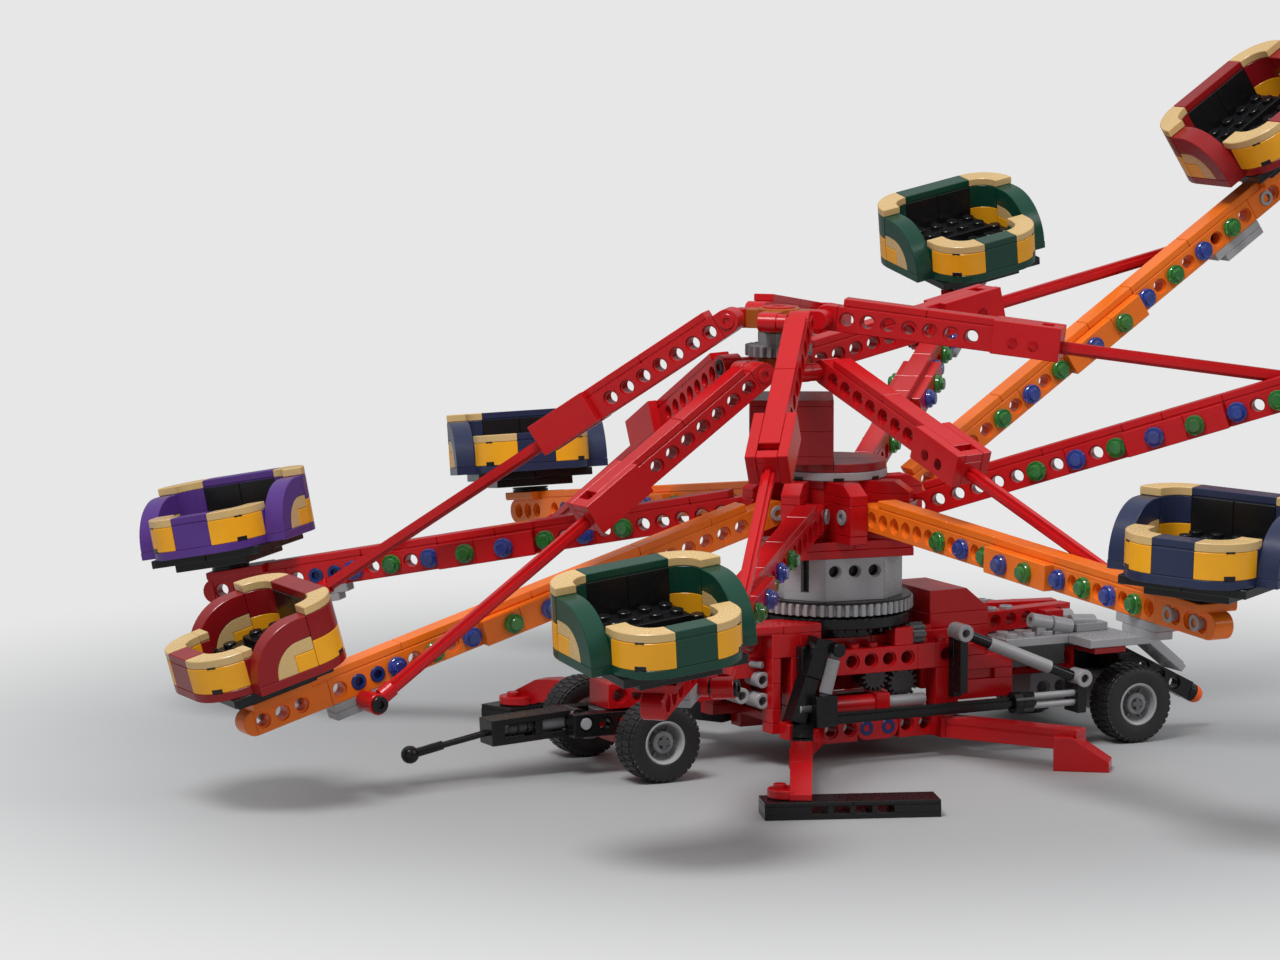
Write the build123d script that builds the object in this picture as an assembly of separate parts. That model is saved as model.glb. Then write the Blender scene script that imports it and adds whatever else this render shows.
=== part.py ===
from build123d import *
import math
import os

# Octopus ride built from toy bricks: eight spinning cars on arms around a tower, on a road trailer.
# Origin: turntable axis at ground level. +X runs along the trailer to its rear wheels, +Z is up.
# All lengths are millimetres.

# Brick system
STUD = 8.0
PLATE = 3.2
BRICK = 9.6
HOLE_R = 2.4
PIN_R = 2.3
FIT = 0.05
BEAM_HALF = 4.8
SEAT_GAP = 0.3

# Trailer chassis
RAIL_Y = 28.0
RAIL_Z = 38.0
RAIL_HALF = 4.8
RAIL_X0 = -20.0
RAIL_X1 = 34.0
FRONT_RAIL_Z = 46.0
FRONT_X = -52.0
POST_X0 = -41.0
POST_X1 = -29.0
POST_Z0 = 13.0
SPINE_HALF = 8.0
SPINE_Z0 = 24.0
SPINE_Z1 = 33.6
FLOOR_Z = 12.8
LOWER_Z = 12.2
RAIL_TOP_Z = 50.8
PLATE_TOP_Z = 46.4
CROSS_X0 = 28.0
CROSS_X1 = 40.0
DECK_Z = 42.0
DECK_X0 = 60.0
DECK_X1 = 112.0
TAIL_Y = 24.6
TAIL_TOP = (113.0, 32.0)
TAIL_END = (148.0, 14.0)
LAMP_R = 3.6
LAMP_H = 3.4
JACK_R = 3.2
JACK_Z = 47.0
JACK_RING_R = 4.3
DRIVE_Z = 18.8
DRIVE_R = 2.4
CLUTCH_R = 4.2
WHEEL_R = 15.2
TYRE_W = 14.0
RIM_R = 9.0
REAR_X = 111.0
REAR_Y = 38.0
DOLLY_X = -91.0
DOLLY_Y = 31.0
AXLE_R = 2.35
RUN_CLEAR = 0.05
HITCH_X = -111.0
HITCH_Z = 20.0
HITCH_W = 11.0
HITCH_GAP = 0.4
BALL_X = -178.0
BALL_Z = 12.0
BALL_R = 3.4

# Outriggers: ground pads, feet and the legs that reach them
FRONT_PAD = (-60.0, -122.0)
FRONT_ROOT = (-36.0, -32.0)
FRONT_FOOT = (-76.5, -115.5)
REAR_ROOT = (33.0, -34.0)
REAR_FOOT = (62.0, -82.0)
PAD_TURN = -20.0
PAD_L = 64.0
PAD_W = 16.0
PAD_H = 6.4
PAD_HOLES = 4
LEG_W = 8.0
LEG_Z0 = 8.0
LEG_Z1 = 17.6
BRACE_W = 4.0
REAR_LEG_Z0 = 7.4
REAR_LEG_Z1 = 15.4
WEDGE_W = 12.0
WEDGE_TURN = 37.0

# Turntable
RING_Z0 = 55.2
RING_H = 5.6
RING_TEETH = 60
RING_TIP_R = 31.0
RING_ROOT_R = 29.0
DRUM_Z1 = 77.0
DRUM_HALF = 24.0
DRUM_CHAMFER = 12.0
DRUM_HOLE_R = 2.2
TOWER_TURN = 82.0
BASE_R = 30.5
BASE_Z0 = 50.4
BASE_Z1 = 54.6

# Tower
FLANGE_HALF = 24.0
FLANGE_H = 6.4
CORE_R = 19.4
BODY_Z1 = 106.0
CHEEK_REACH = 6.0
CHEEK_SLOPE = 6.5
CHEEK_T = 7.6
CHEEK_SLOPE_Z = 101.0
SLOT_HALF = 4.4
SLOT_END = 3.7
DISC_R = 20.8
DISC_Z1 = 112.4
MAST_Z1 = 137.0
MAST_TURN = -28.0

# Crank hub on top of the mast
HUB_X = -23.4
HUB_Y = 0.3
HUB_LOW_Z = 147.8
HUB_HIGH_Z = 167.0
HUB_PIN_R = 16.0
GEAR_TEETH = 24
GEAR_TIP_R = 12.8
GEAR_ROOT_R = 10.4
GEAR_Z0 = 153.2
GEAR_H = 4.0

# Arms, pivoted on the tower and held up by the stays
ARM_COUNT = 8
ARM_PIVOT_R = 27.0
ARM_PIVOT_Z = 93.4
ARM_FIRST_AZ = 47.2
ARM_STEP_AZ = 45.0
ARM_RISE = [15.8, -7.8, -10.7, -15.9, -9.0, -2.8, 18.1, 33.1]
CAR_TURN = [-135.0, 160.0, 84.0, -2.0, 44.0, -60.0, 60.0, -90.0]
ARM_END = 232.0
CAR_AT = 220.0
STAY_AT = 184.0
STAY_SIDE = 12.5
STAY_SHOULDER = 4.9
BLOCK_FROM = 64.0
BLOCK_TO = 90.0
BLOCK_WALL = 4.0
BLOCK_TOP = 8.0
STAY_DROP = -7.0
JOINT_FROM = 92.0
JOINT_TO = 132.0

# Cars
CAR_BASE = 16.8
CAR_HALF_W = 32.0
CAR_RING_Y = 12.0
RING_OUT = 16.0
RING_IN = 8.0
WALL_T = 8.0
WALL_TOP = 22.4
BACK_TOP = 25.6
FRONT_TOP = 16.0

os.makedirs("parts", exist_ok=True)


def block(x0, x1, y0, y1, z0, z1):
    """Rectangular solid between two corners."""
    size = Box(x1 - x0, y1 - y0, z1 - z0)
    return Pos((x0 + x1) / 2, (y0 + y1) / 2, (z0 + z1) / 2) * size


def rod(radius, start, end):
    """Round bar between two points."""
    a = Vector(*start)
    b = Vector(*end)
    axis = b - a
    place = Plane(origin=a, z_dir=axis)
    return extrude(place * Circle(radius), axis.length)


def bar(start, end, width, height, roll=(0, 0, 1)):
    """Square bar between two points, with its height close to the roll direction."""
    a = Vector(*start)
    b = Vector(*end)
    axis = b - a
    side = Vector(*roll).cross(axis).normalized()
    place = Plane(origin=a, x_dir=side, z_dir=axis)
    return extrude(place * Rectangle(width, height), axis.length)


def holes_y(xs, z, width, radius=HOLE_R, sides=8):
    """Row of holes across a beam, as prisms of few sides."""
    found = []
    for x in xs:
        sketch = Plane.XZ * Pos(x, z) * RegularPolygon(radius, sides)
        found.append(extrude(sketch, width / 2, both=True))
    return found


def arm_place(index):
    """Frame of an arm: x along the arm, y to its counter-clockwise side, z normal to it."""
    az = math.radians(ARM_FIRST_AZ + ARM_STEP_AZ * index)
    rise = math.radians(ARM_RISE[index])
    out = (math.cos(az), math.sin(az))
    origin = (ARM_PIVOT_R * out[0], ARM_PIVOT_R * out[1], ARM_PIVOT_Z)
    along = (out[0] * math.cos(rise), out[1] * math.cos(rise), math.sin(rise))
    normal = (-out[0] * math.sin(rise), -out[1] * math.sin(rise), math.cos(rise))
    return Plane(origin=origin, x_dir=along, z_dir=normal)


def car_place(index):
    """Frame of a car: origin on its spin axis at the underside of its base plate."""
    arm = arm_place(index)
    turn = Plane(origin=(CAR_AT, 0, CAR_BASE), x_dir=(1, 0, 0), z_dir=(0, 0, 1))
    place = arm.location * turn.location * Rot(0, 0, CAR_TURN[index] - 90.0)
    return place


def gear(teeth, tip, root, height, bore=0.0):
    """Straight-toothed wheel lying flat, cut as one closed outline."""
    outline = []
    pitch = 2 * math.pi / teeth
    for k in range(teeth):
        for part, radius in ((-0.34, root), (-0.2, tip), (0.2, tip), (0.34, root)):
            angle = pitch * (k + part)
            outline.append((radius * math.cos(angle), radius * math.sin(angle)))
    face = make_face(Polyline(*outline, close=True))
    if bore > 0:
        face = face - Circle(bore)
    return extrude(face, height)


# Trailer


def side_frame():
    """Left half of the frame: holed rails, slotted corner post, inner post and lower beam."""
    inner = RAIL_Y - STUD
    half = block(FRONT_X, RAIL_X0, inner - STUD, inner, FRONT_RAIL_Z - RAIL_HALF, RAIL_TOP_Z)
    for cut in holes_y([FRONT_X + 6 + STUD * k for k in range(3)], FRONT_RAIL_Z, 60):
        half -= cut
    half += block(FRONT_X, RAIL_X0, inner - STUD, RAIL_Y, RAIL_TOP_Z, RAIL_TOP_Z + PLATE)
    half += block(POST_X0, POST_X1, inner, RAIL_Y, POST_Z0, RAIL_TOP_Z)
    half -= block(POST_X0 + 3.7, POST_X1 - 3.7, inner - 1, RAIL_Y + 1, POST_Z0 + 4, RAIL_Z + RAIL_HALF)
    rail = block(RAIL_X0, RAIL_X1, inner, RAIL_Y, RAIL_Z - RAIL_HALF, RAIL_Z + RAIL_HALF)
    for cut in holes_y([-6.4 + STUD * k for k in range(4)], RAIL_Z, 80):
        rail -= cut
    half += rail
    half += block(POST_X1, RAIL_X0, inner, RAIL_Y, RAIL_Z - RAIL_HALF, RAIL_TOP_Z)
    half += block(30, 40, inner, RAIL_Y, 17.6, RAIL_Z + RAIL_HALF)
    lower = block(POST_X1, RAIL_X1, inner, RAIL_Y, LOWER_Z - RAIL_HALF, LOWER_Z + RAIL_HALF)
    for cut in holes_y([-15.5, -7.5, 17.5, 25.5], LOWER_Z, 80):
        lower -= cut
    half += lower
    half += rod(3.8, (POST_X1, inner + 4, 21), (4, inner + 4, 21))
    half += block(4, 10, inner, RAIL_Y, LOWER_Z + RAIL_HALF, 25)
    half += block(12, 20, inner, RAIL_Y, RAIL_Z + RAIL_HALF, 49.6)
    guard = block(40, 64, inner - 2, RAIL_Y, 20, 36.8)
    guard += block(40, 52, inner - 2, RAIL_Y, 36.8, 41.6)
    guard -= block(44, 56, RAIL_Y - 2, RAIL_Y + 1, 27.2, 31.2)
    half += guard
    return half


def chassis_frame():
    """Red spine, floor and cross members between the two side frames."""
    frame = block(-100, 104, -SPINE_HALF, SPINE_HALF, SPINE_Z0, SPINE_Z1)
    frame += block(POST_X1, RAIL_X1, -20, 20, FLOOR_Z, FLOOR_Z + PLATE)
    frame += block(FRONT_X, -28, -20, 20, SPINE_Z1, FRONT_RAIL_Z - RAIL_HALF)
    frame += block(CROSS_X0, CROSS_X1, -20, 20, SPINE_Z0, RAIL_Z + RAIL_HALF)
    frame += block(-28, CROSS_X1, -20, 20, PLATE_TOP_Z - 1.5 * PLATE, PLATE_TOP_Z)
    left = side_frame()
    frame += left + mirror(left, Plane.XZ)
    frame -= extrude(Pos(0, 0, BASE_Z0 - FIT) * Circle(BASE_R + 0.6), 10)
    return frame


def turntable_base():
    """Black fixed ring under the toothed ring, on its pedestal."""
    base = extrude(Pos(0, 0, PLATE_TOP_Z) * Circle(22), BASE_Z0 - PLATE_TOP_Z)
    base += extrude(Pos(0, 0, BASE_Z0) * Circle(BASE_R), BASE_Z1 - BASE_Z0)
    return base


def rear_box():
    """Red box behind the turntable with a sloping top, and the forked rest for the folded arms."""
    outline = Polyline(
        (34, PLATE_TOP_Z),
        (CROSS_X1, PLATE_TOP_Z),
        (CROSS_X1, 41.6),
        (DECK_X0, 41.6),
        (DECK_X0, 52),
        (50, 61),
        (34, 61),
        close=True,
    )
    box = extrude(make_face(Plane.XZ * outline), 16, both=True)
    for side in (-1, 1):
        box += bar((58, side * 12, 46.8), (102, side * 4, 46.8), 6.4, 8)
    box += block(86, 94, -16, 16, DECK_Z, 49.6)
    box -= block(DECK_X0, 120, -40, 40, 30, DECK_Z)
    return box


def rear_deck():
    """Grey deck over the rear axle with side panels and sloping mudguards."""
    deck = block(DECK_X0, DECK_X1, -30, 30, DECK_Z - PLATE, DECK_Z)
    for side in (-1, 1):
        outline = Polyline(
            (88, DECK_Z),
            (DECK_X1, DECK_Z),
            (127, 31.5),
            (125, 29.2),
            (110.6, DECK_Z - PLATE),
            (88, DECK_Z - PLATE),
            close=True,
        )
        guard = extrude(make_face(Plane.XZ * outline), TYRE_W / 2 + 1, both=True)
        deck += Pos(0, side * REAR_Y, 0) * guard
        y0, y1 = sorted((side * 14, side * 17))
        deck += block(66, 94, y0, y1, 28.6, DECK_Z - PLATE)
        y = side * 24
        deck += rod(2.7, (74, y, DECK_Z + 6), (92, y, DECK_Z + 2))
    deck += block(DECK_X0, 104, -SPINE_HALF, SPINE_HALF, SPINE_Z1, DECK_Z - PLATE)
    return deck


def rear_bumper():
    """Black tail arms that slope down to the lamps, with the beam between them."""
    beam = block(104, 118, -SPINE_HALF, SPINE_HALF, SPINE_Z0, SPINE_Z1)
    beam += block(112, 118, -28, 28, SPINE_Z0 + 1, SPINE_Z1 - 1)
    for side in (-1, 1):
        y = side * TAIL_Y
        beam += bar((TAIL_TOP[0], y, TAIL_TOP[1]), (TAIL_END[0], y, TAIL_END[1]), 6.4, 7.2)
    return beam


def tail_lamps():
    """Round tail lamps at the ends of the tail arms."""
    lamps = []
    for side in (-1, 1):
        y = side * TAIL_Y
        end = Vector(TAIL_END[0], y, TAIL_END[1])
        along = (end - Vector(TAIL_TOP[0], y, TAIL_TOP[1])).normalized()
        lamps.append(rod(LAMP_R, tuple(end), tuple(end + along * LAMP_H)))
    return lamps


def rear_axle():
    """Grey axle through the chassis with its bearing block."""
    reach = REAR_Y + TYRE_W / 2 - 2
    axle = rod(AXLE_R, (REAR_X, -reach, WHEEL_R), (REAR_X, reach, WHEEL_R))
    axle += block(REAR_X - 7, REAR_X + 7, -28, 28, WHEEL_R - 4.8, SPINE_Z0)
    axle += block(REAR_X - 27, REAR_X - 7, -SPINE_HALF, SPINE_HALF, 12, SPINE_Z0)
    return axle


def front_leg():
    """Left front leg: low red beam from the corner post to its sloping foot, with a brace."""
    root = Vector(FRONT_ROOT[0], -FRONT_ROOT[1])
    foot = Vector(FRONT_FOOT[0], -FRONT_FOOT[1])
    reach = (foot - root).length
    half = LEG_W / 2
    sole = PAD_H + SEAT_GAP
    side_view = Polyline(
        (0, LEG_Z0),
        (reach - 12, LEG_Z0),
        (reach - 8, sole),
        (reach + 6, sole),
        (reach + 6, sole + 2),
        (reach - 10, LEG_Z1),
        (0, LEG_Z1),
        close=True,
    )
    leg = extrude(make_face(Plane.XZ * side_view), half, both=True)
    leg += block(reach - 8, reach + 6, -half - 7, half, sole, sole + PLATE)
    heading = math.degrees(math.atan2(foot.Y - root.Y, foot.X - root.X))
    leg = Pos(root.X, root.Y, 0) * Rot(0, 0, heading) * leg
    leg += block(POST_X0 + 1, POST_X1 - 1, RAIL_Y, root.Y + half, LEG_Z0 + 1, LEG_Z1)
    brace = bar((-22, RAIL_Y + 2, LOWER_Z), (-56, 73, LOWER_Z), BRACE_W, 8)
    brace -= block(-60, 0, 0, RAIL_Y, 0, 30)
    return leg + brace


def rear_leg():
    """Left rear leg: straight red beam to a wedge foot on the ground."""
    middle = (REAR_LEG_Z0 + REAR_LEG_Z1) / 2
    root = (REAR_ROOT[0], -REAR_ROOT[1], middle)
    foot = (REAR_FOOT[0], -REAR_FOOT[1], middle)
    leg = bar(root, foot, LEG_W, REAR_LEG_Z1 - REAR_LEG_Z0)
    wedge = Polyline((-10, 0), (11, 0), (11, 4), (-3, 13), (-10, 13), close=True)
    stand = extrude(make_face(Plane.XZ * wedge), WEDGE_W / 2, both=True)
    leg += Pos(foot[0], foot[1], 0) * Rot(0, 0, WEDGE_TURN) * stand
    leg += block(28, 37, RAIL_Y, -REAR_ROOT[1] + 2, REAR_LEG_Z0, REAR_LEG_Z1)
    return leg


def pad():
    """Long black ground pad under the left front leg, cut out along its side."""
    plate = block(-PAD_L / 2, PAD_L / 2, -PAD_W / 2, PAD_W / 2, 0, PAD_H)
    for k in range(PAD_HOLES):
        x = -16 + 8 * k
        plate -= block(x + 1, x + 7, -PAD_W, PAD_W, 2.0, 4.8)
    return Pos(FRONT_PAD[0], -FRONT_PAD[1], 0) * Rot(0, 0, -PAD_TURN) * plate


def leg_actuators():
    """Left side's black posts, grey screw jacks and long drive rod that fold the legs."""
    y = RAIL_Y + 5
    outer = y + 4
    front = bar((-23, y, 49), (-34.5, y, LEG_Z1), 8, 7)
    front -= block(-50, 0, 0, 60, 0, LEG_Z1)
    front += block(POST_X1 - 2, RAIL_X0 - 2, RAIL_Y, y, 36, 46)
    front += rod(JACK_R, (-30, y + 1, 45.5), (-19, y + 1, 45.5))
    front += rod(JACK_R, (-36, y + 2, 25.3), (-25, y + 2, 25.3))
    front += rod(JACK_R, (-18.4, outer, 44), (-23.5, outer, 27))
    front += block(-29, -20, y - 1, outer + 4, DRIVE_Z - DRIVE_R, 28)
    front += rod(DRIVE_R, (-24, outer, DRIVE_Z), (60, outer, DRIVE_Z))
    front += rod(CLUTCH_R, (58, outer, DRIVE_Z), (67, outer, DRIVE_Z))
    for z in (DRIVE_Z - 1.8, DRIVE_Z + 1.8):
        front += rod(1.3, (66, outer, z), (88, outer, z))
    front += block(86, 90, y - 3, outer + 3, 13, 28)
    rear = block(34, 40, RAIL_Y, outer, 22, JACK_Z - 2)
    rear += rod(JACK_RING_R, (38, RAIL_Y, JACK_Z), (38, outer, JACK_Z))
    rear += rod(JACK_R, (38, y, JACK_Z), (88, outer, 26))
    return front + rear


def drive_gears():
    """Grey gear train that shows under the side rails, on its cross shafts."""
    gears = []
    for x, z, r in ((8.5, 30, 5.8), (20.5, 27, 6.4)):
        wheel = Plane(origin=(x, -15, z), z_dir=(0, -1, 0)).location * gear(16, r, r - 1.5, 4)
        wheel += rod(2.4, (x, -SPINE_HALF, z), (x, -17.5, z))
        gears.append(wheel)
        gears.append(mirror(wheel, Plane.XZ))
    return gears


def wheel(x, y, side):
    """Tyre and rim of one road wheel, turned about the axle."""
    half = TYRE_W / 2
    section = Polyline(
        (RIM_R, -half),
        (WHEEL_R - 2, -half),
        (WHEEL_R, -half + 2.5),
        (WHEEL_R, half - 2.5),
        (WHEEL_R - 2, half),
        (RIM_R, half),
        close=True,
    )
    tyre = revolve(make_face(section), Axis.Y)
    bore = AXLE_R + RUN_CLEAR
    inner = Polyline(
        (bore, -half + 1),
        (RIM_R, -half + 1),
        (RIM_R, half - 0.5),
        (RIM_R - 1.2, half - 0.5),
        (RIM_R - 2.2, half - 4),
        (4.2, half - 4),
        (4.2, half - 1),
        (bore, half - 1),
        close=True,
    )
    rim = revolve(make_face(inner), Axis.Y)
    turn = Rot(0, 0, 0) if side > 0 else Rot(0, 0, 180)
    place = Pos(x, y, WHEEL_R) * turn
    return place * tyre, place * rim


def dolly_frame():
    """Steered front bogie: round turning plate, axle block and the fork for the drawbar."""
    frame = rod(12, (DOLLY_X, 0, 19.2), (DOLLY_X, 0, 23.7))
    frame += block(DOLLY_X - 6, DOLLY_X + 6, -20, 20, 11, 21)
    reach = DOLLY_Y + TYRE_W / 2 - 2
    frame += rod(AXLE_R, (DOLLY_X, -reach, WHEEL_R), (DOLLY_X, reach, WHEEL_R))
    for side in (-1, 1):
        y0, y1 = sorted((side * (HITCH_W / 2 + HITCH_GAP), side * 12))
        frame += block(HITCH_X - 5, DOLLY_X, y0, y1, 15, 23.7)
    frame += rod(PIN_R, (HITCH_X, -12, HITCH_Z), (HITCH_X, 12, HITCH_Z))
    return frame


def drawbar():
    """Black towing bar: hinge eye, broad shank and thin ball end."""
    shank = rod(4.8, (HITCH_X, -HITCH_W / 2, HITCH_Z), (HITCH_X, HITCH_W / 2, HITCH_Z))
    shank += bar((HITCH_X, 0, HITCH_Z), (HITCH_X - 36, 0, 18), HITCH_W, 9.6)
    shank += bar((HITCH_X - 36, 0, 18), (BALL_X + 1, 0, BALL_Z), 4.0, 4.8)
    shank += Pos(BALL_X, 0, BALL_Z) * Sphere(BALL_R)
    shank -= rod(PIN_R + FIT, (HITCH_X, -20, HITCH_Z), (HITCH_X, 20, HITCH_Z))
    return shank


# Turning superstructure


def toothed_ring():
    """Toothed outer ring of the turntable."""
    place = Pos(0, 0, RING_Z0)
    return place * gear(RING_TEETH, RING_TIP_R, RING_ROOT_R, RING_H, 0.0)


def ring_drum():
    """Grey drum: a square with cut corners, three holes in each side and a slot in each corner."""
    z0 = RING_Z0 + RING_H
    flat = DRUM_HALF - DRUM_CHAMFER
    corners = []
    for sx, sy in ((1, 1), (-1, 1), (-1, -1), (1, -1)):
        pair = [(sx * DRUM_HALF, sy * flat), (sx * flat, sy * DRUM_HALF)]
        corners += pair if sx * sy > 0 else pair[::-1]
    drum = extrude(Pos(0, 0, z0) * make_face(Polyline(*corners, close=True)), DRUM_Z1 - z0)
    corner_reach = (DRUM_HALF + flat) / math.sqrt(2)
    for k in range(4):
        for shift in (-STUD, 0.0, STUD):
            hole = Pos(DRUM_HALF, shift, DRUM_Z1 - 5) * Rot(0, 90, 0) * Cylinder(DRUM_HOLE_R, 8)
            drum -= Rot(0, 0, 90 * k) * hole
        slot = block(corner_reach - 3, corner_reach + 1, -1.7, 1.7, z0 + 3, DRUM_Z1)
        drum -= Rot(0, 0, 90 * k + 45) * slot
    return Rot(0, 0, TOWER_TURN) * drum


def tower_body():
    """Red brick tower: square flange, eight-sided core and a wide bracket beside each arm."""
    z0 = DRUM_Z1 + FLANGE_H
    square = Rectangle(2 * FLANGE_HALF, 2 * FLANGE_HALF)
    body = extrude(Pos(0, 0, DRUM_Z1) * Rot(0, 0, TOWER_TURN) * square, FLANGE_H)
    core = Rot(0, 0, ARM_FIRST_AZ + ARM_STEP_AZ / 2) * RegularPolygon(CORE_R, ARM_COUNT)
    body += extrude(Pos(0, 0, z0) * core, BODY_Z1 - z0)
    reach = ARM_PIVOT_R + CHEEK_REACH
    outline = Polyline(
        (10, z0),
        (reach, z0),
        (reach, CHEEK_SLOPE_Z),
        (reach - CHEEK_SLOPE, BODY_Z1),
        (10, BODY_Z1),
        close=True,
    )
    cheek = extrude(make_face(Plane.XZ * outline), CHEEK_T / 2, both=True)
    cheek = Pos(0, -SLOT_HALF - CHEEK_T / 2, 0) * cheek
    slot_x0 = ARM_PIVOT_R - BEAM_HALF - SLOT_END
    slot = block(slot_x0, reach + 8, -SLOT_HALF, SLOT_HALF, z0, BODY_Z1)
    pin_y = -SLOT_HALF - CHEEK_T - 2
    slot += rod(PIN_R, (ARM_PIVOT_R, pin_y, ARM_PIVOT_Z), (ARM_PIVOT_R, 0, ARM_PIVOT_Z))
    turns = [Rot(0, 0, ARM_FIRST_AZ + ARM_STEP_AZ * index) for index in range(ARM_COUNT)]
    for turn in turns:
        body += turn * cheek
    for turn in turns:
        body -= turn * slot
    return body


def top_disc():
    """Notched grey plate and the round dark red plate on top of the tower."""
    disc = extrude(Pos(0, 0, BODY_Z1) * Circle(DISC_R), DISC_Z1 - BODY_Z1)
    for k in range(8):
        notch = block(DISC_R - 1.2, DISC_R + 1, -2, 2, BODY_Z1 - 1, BODY_Z1 + 1.2)
        disc -= Rot(0, 0, 45 * k + 22.5) * notch
    return disc


def mast_block():
    """Tall off-centre block that carries the crank pin."""
    mast = Rot(0, 0, MAST_TURN) * block(-32, 0, -22, 10, DISC_Z1, MAST_Z1)
    mast += rod(2.4, (HUB_X, HUB_Y, MAST_Z1), (HUB_X, HUB_Y, HUB_LOW_Z - 5))
    return mast


def hub_spider():
    """Two-level hub on the crank pin, with a lug and pin for each stay."""
    hub = extrude(Pos(HUB_X, HUB_Y, HUB_LOW_Z - 4.8) * Circle(8), BRICK)
    hub += extrude(Pos(HUB_X, HUB_Y, HUB_LOW_Z + 4.8) * Circle(4), HUB_HIGH_Z - HUB_LOW_Z - BRICK)
    hub += extrude(Pos(HUB_X, HUB_Y, HUB_HIGH_Z - 4.8) * Circle(8), BRICK)
    for index in range(ARM_COUNT):
        az = ARM_FIRST_AZ + ARM_STEP_AZ * index
        z = HUB_HIGH_Z if index % 2 == 0 else HUB_LOW_Z
        lug = block(5, HUB_PIN_R + 3.6, -3.6, 3.6, z - 3.6, z + 3.6)
        lug += rod(3.4, (HUB_PIN_R, 3.6, z), (HUB_PIN_R, STAY_SIDE - STAY_SHOULDER, z))
        lug += rod(PIN_R, (HUB_PIN_R, 3.6, z), (HUB_PIN_R, STAY_SIDE + 4.6, z))
        hub += Pos(HUB_X, HUB_Y, 0) * Rot(0, 0, az) * lug
    return hub


def hub_gear():
    """Dark grey gear between the two hub levels."""
    return Pos(HUB_X, HUB_Y, GEAR_Z0) * gear(GEAR_TEETH, GEAR_TIP_R, GEAR_ROOT_R, GEAR_H, 4.0 + FIT)


def pivot_pins():
    """Pins that hold the arms beside the tower brackets."""
    pins = []
    inner = -SLOT_HALF - CHEEK_T - 0.8
    outer = SLOT_HALF + 0.6
    for index in range(ARM_COUNT):
        az = ARM_FIRST_AZ + ARM_STEP_AZ * index
        pin = rod(PIN_R - FIT, (ARM_PIVOT_R, inner, ARM_PIVOT_Z), (ARM_PIVOT_R, outer, ARM_PIVOT_Z))
        pins.append(Rot(0, 0, az) * pin)
    return pins


def arm(index):
    """Ride arm: holed beam with tile top, doubled joint, stepped stay carrier, wide end under the car."""
    beam = block(0, ARM_END - 4.8, -4, 4, -4.8, 4.8)
    beam += rod(4.8, (0, -4, 0), (0, 4, 0))
    beam += rod(4.8, (ARM_END - 4.8, -4, 0), (ARM_END - 4.8, 4, 0))
    beam += block(12, ARM_END - 8, -4, 4, 4.8, 8.0)
    beam += block(JOINT_FROM, JOINT_TO, -8, 8, -4.8, 4.8)
    beam += block(JOINT_FROM + 4, JOINT_TO - 2, 4, 8, 4.8, 8.0)
    beam += block(CAR_AT - 16, CAR_AT + 8, -8, 8, 4.8, 8.0)
    beam += block(STAY_AT - 14, STAY_AT + 14, -4, 4, -8, -4.8)
    beam += block(STAY_AT - 6, STAY_AT + 6, -4, 4, -11, -8)
    xs = [8 * k for k in range(1, 7)] + [64, 80, 144, 160, 176, 200]
    for cut in holes_y(xs, 0, 12):
        beam -= cut
    beam -= rod(PIN_R + FIT, (0, -5, 0), (0, 5, 0))
    beam += rod(3.4, (STAY_AT, 4, STAY_DROP), (STAY_AT, STAY_SIDE - STAY_SHOULDER, STAY_DROP))
    beam += rod(PIN_R, (STAY_AT, 4, STAY_DROP), (STAY_AT, STAY_SIDE + 4.6, STAY_DROP))
    return arm_place(index).location * beam


def stay(index):
    """Stay from the hub to an arm: holed beam, walled joint block, thin rod and end eye."""
    az = ARM_FIRST_AZ + ARM_STEP_AZ * index
    z = HUB_HIGH_Z if index % 2 == 0 else HUB_LOW_Z
    hub_pin = (Pos(HUB_X, HUB_Y, z) * Rot(0, 0, az) * Pos(HUB_PIN_R, STAY_SIDE, 0)).position
    arm_pin = (arm_place(index).location * Pos(STAY_AT, STAY_SIDE, STAY_DROP)).position
    along = arm_pin - hub_pin
    length = along.length
    side = Vector(-math.sin(math.radians(az)), math.cos(math.radians(az)), 0)
    normal = along.cross(side).normalized()
    place = Plane(origin=hub_pin, x_dir=along, z_dir=normal)
    beam = block(0, BLOCK_FROM, -4, 4, -4.8, 4.8) + rod(4.8, (0, -4, 0), (0, 4, 0))
    beam += block(6, BLOCK_TO - 2 * BLOCK_WALL, -4, 4, 4.8, 8.0)
    beam += block(BLOCK_FROM, BLOCK_TO, -8, 8, -4.8, 4.8)
    for y in (-8, 8 - BLOCK_WALL):
        beam += block(BLOCK_FROM, BLOCK_TO, y, y + BLOCK_WALL, 4.8, BLOCK_TOP)
    beam += block(BLOCK_TO - BLOCK_WALL, BLOCK_TO, -4, 4, 4.8, BLOCK_TOP)
    beam += rod(2.4, (BLOCK_TO, 0, 0), (length - 2, 0, 0))
    beam += rod(4.4, (length, -4, 0), (length, 4, 0))
    for cut in holes_y([8 * k for k in range(1, 8)], 0, 12):
        beam -= cut
    placed = place.location * beam
    for pin in (hub_pin, arm_pin):
        placed -= rod(PIN_R + FIT, tuple(pin - side * 9), tuple(pin + side * 9))
    return placed


def car_bearing(index):
    """Round bearing plate on the arm under a car."""
    disc = extrude(Pos(CAR_AT, 0, 8.0) * Circle(7.5), 2.0)
    return arm_place(index).location * disc


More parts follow.
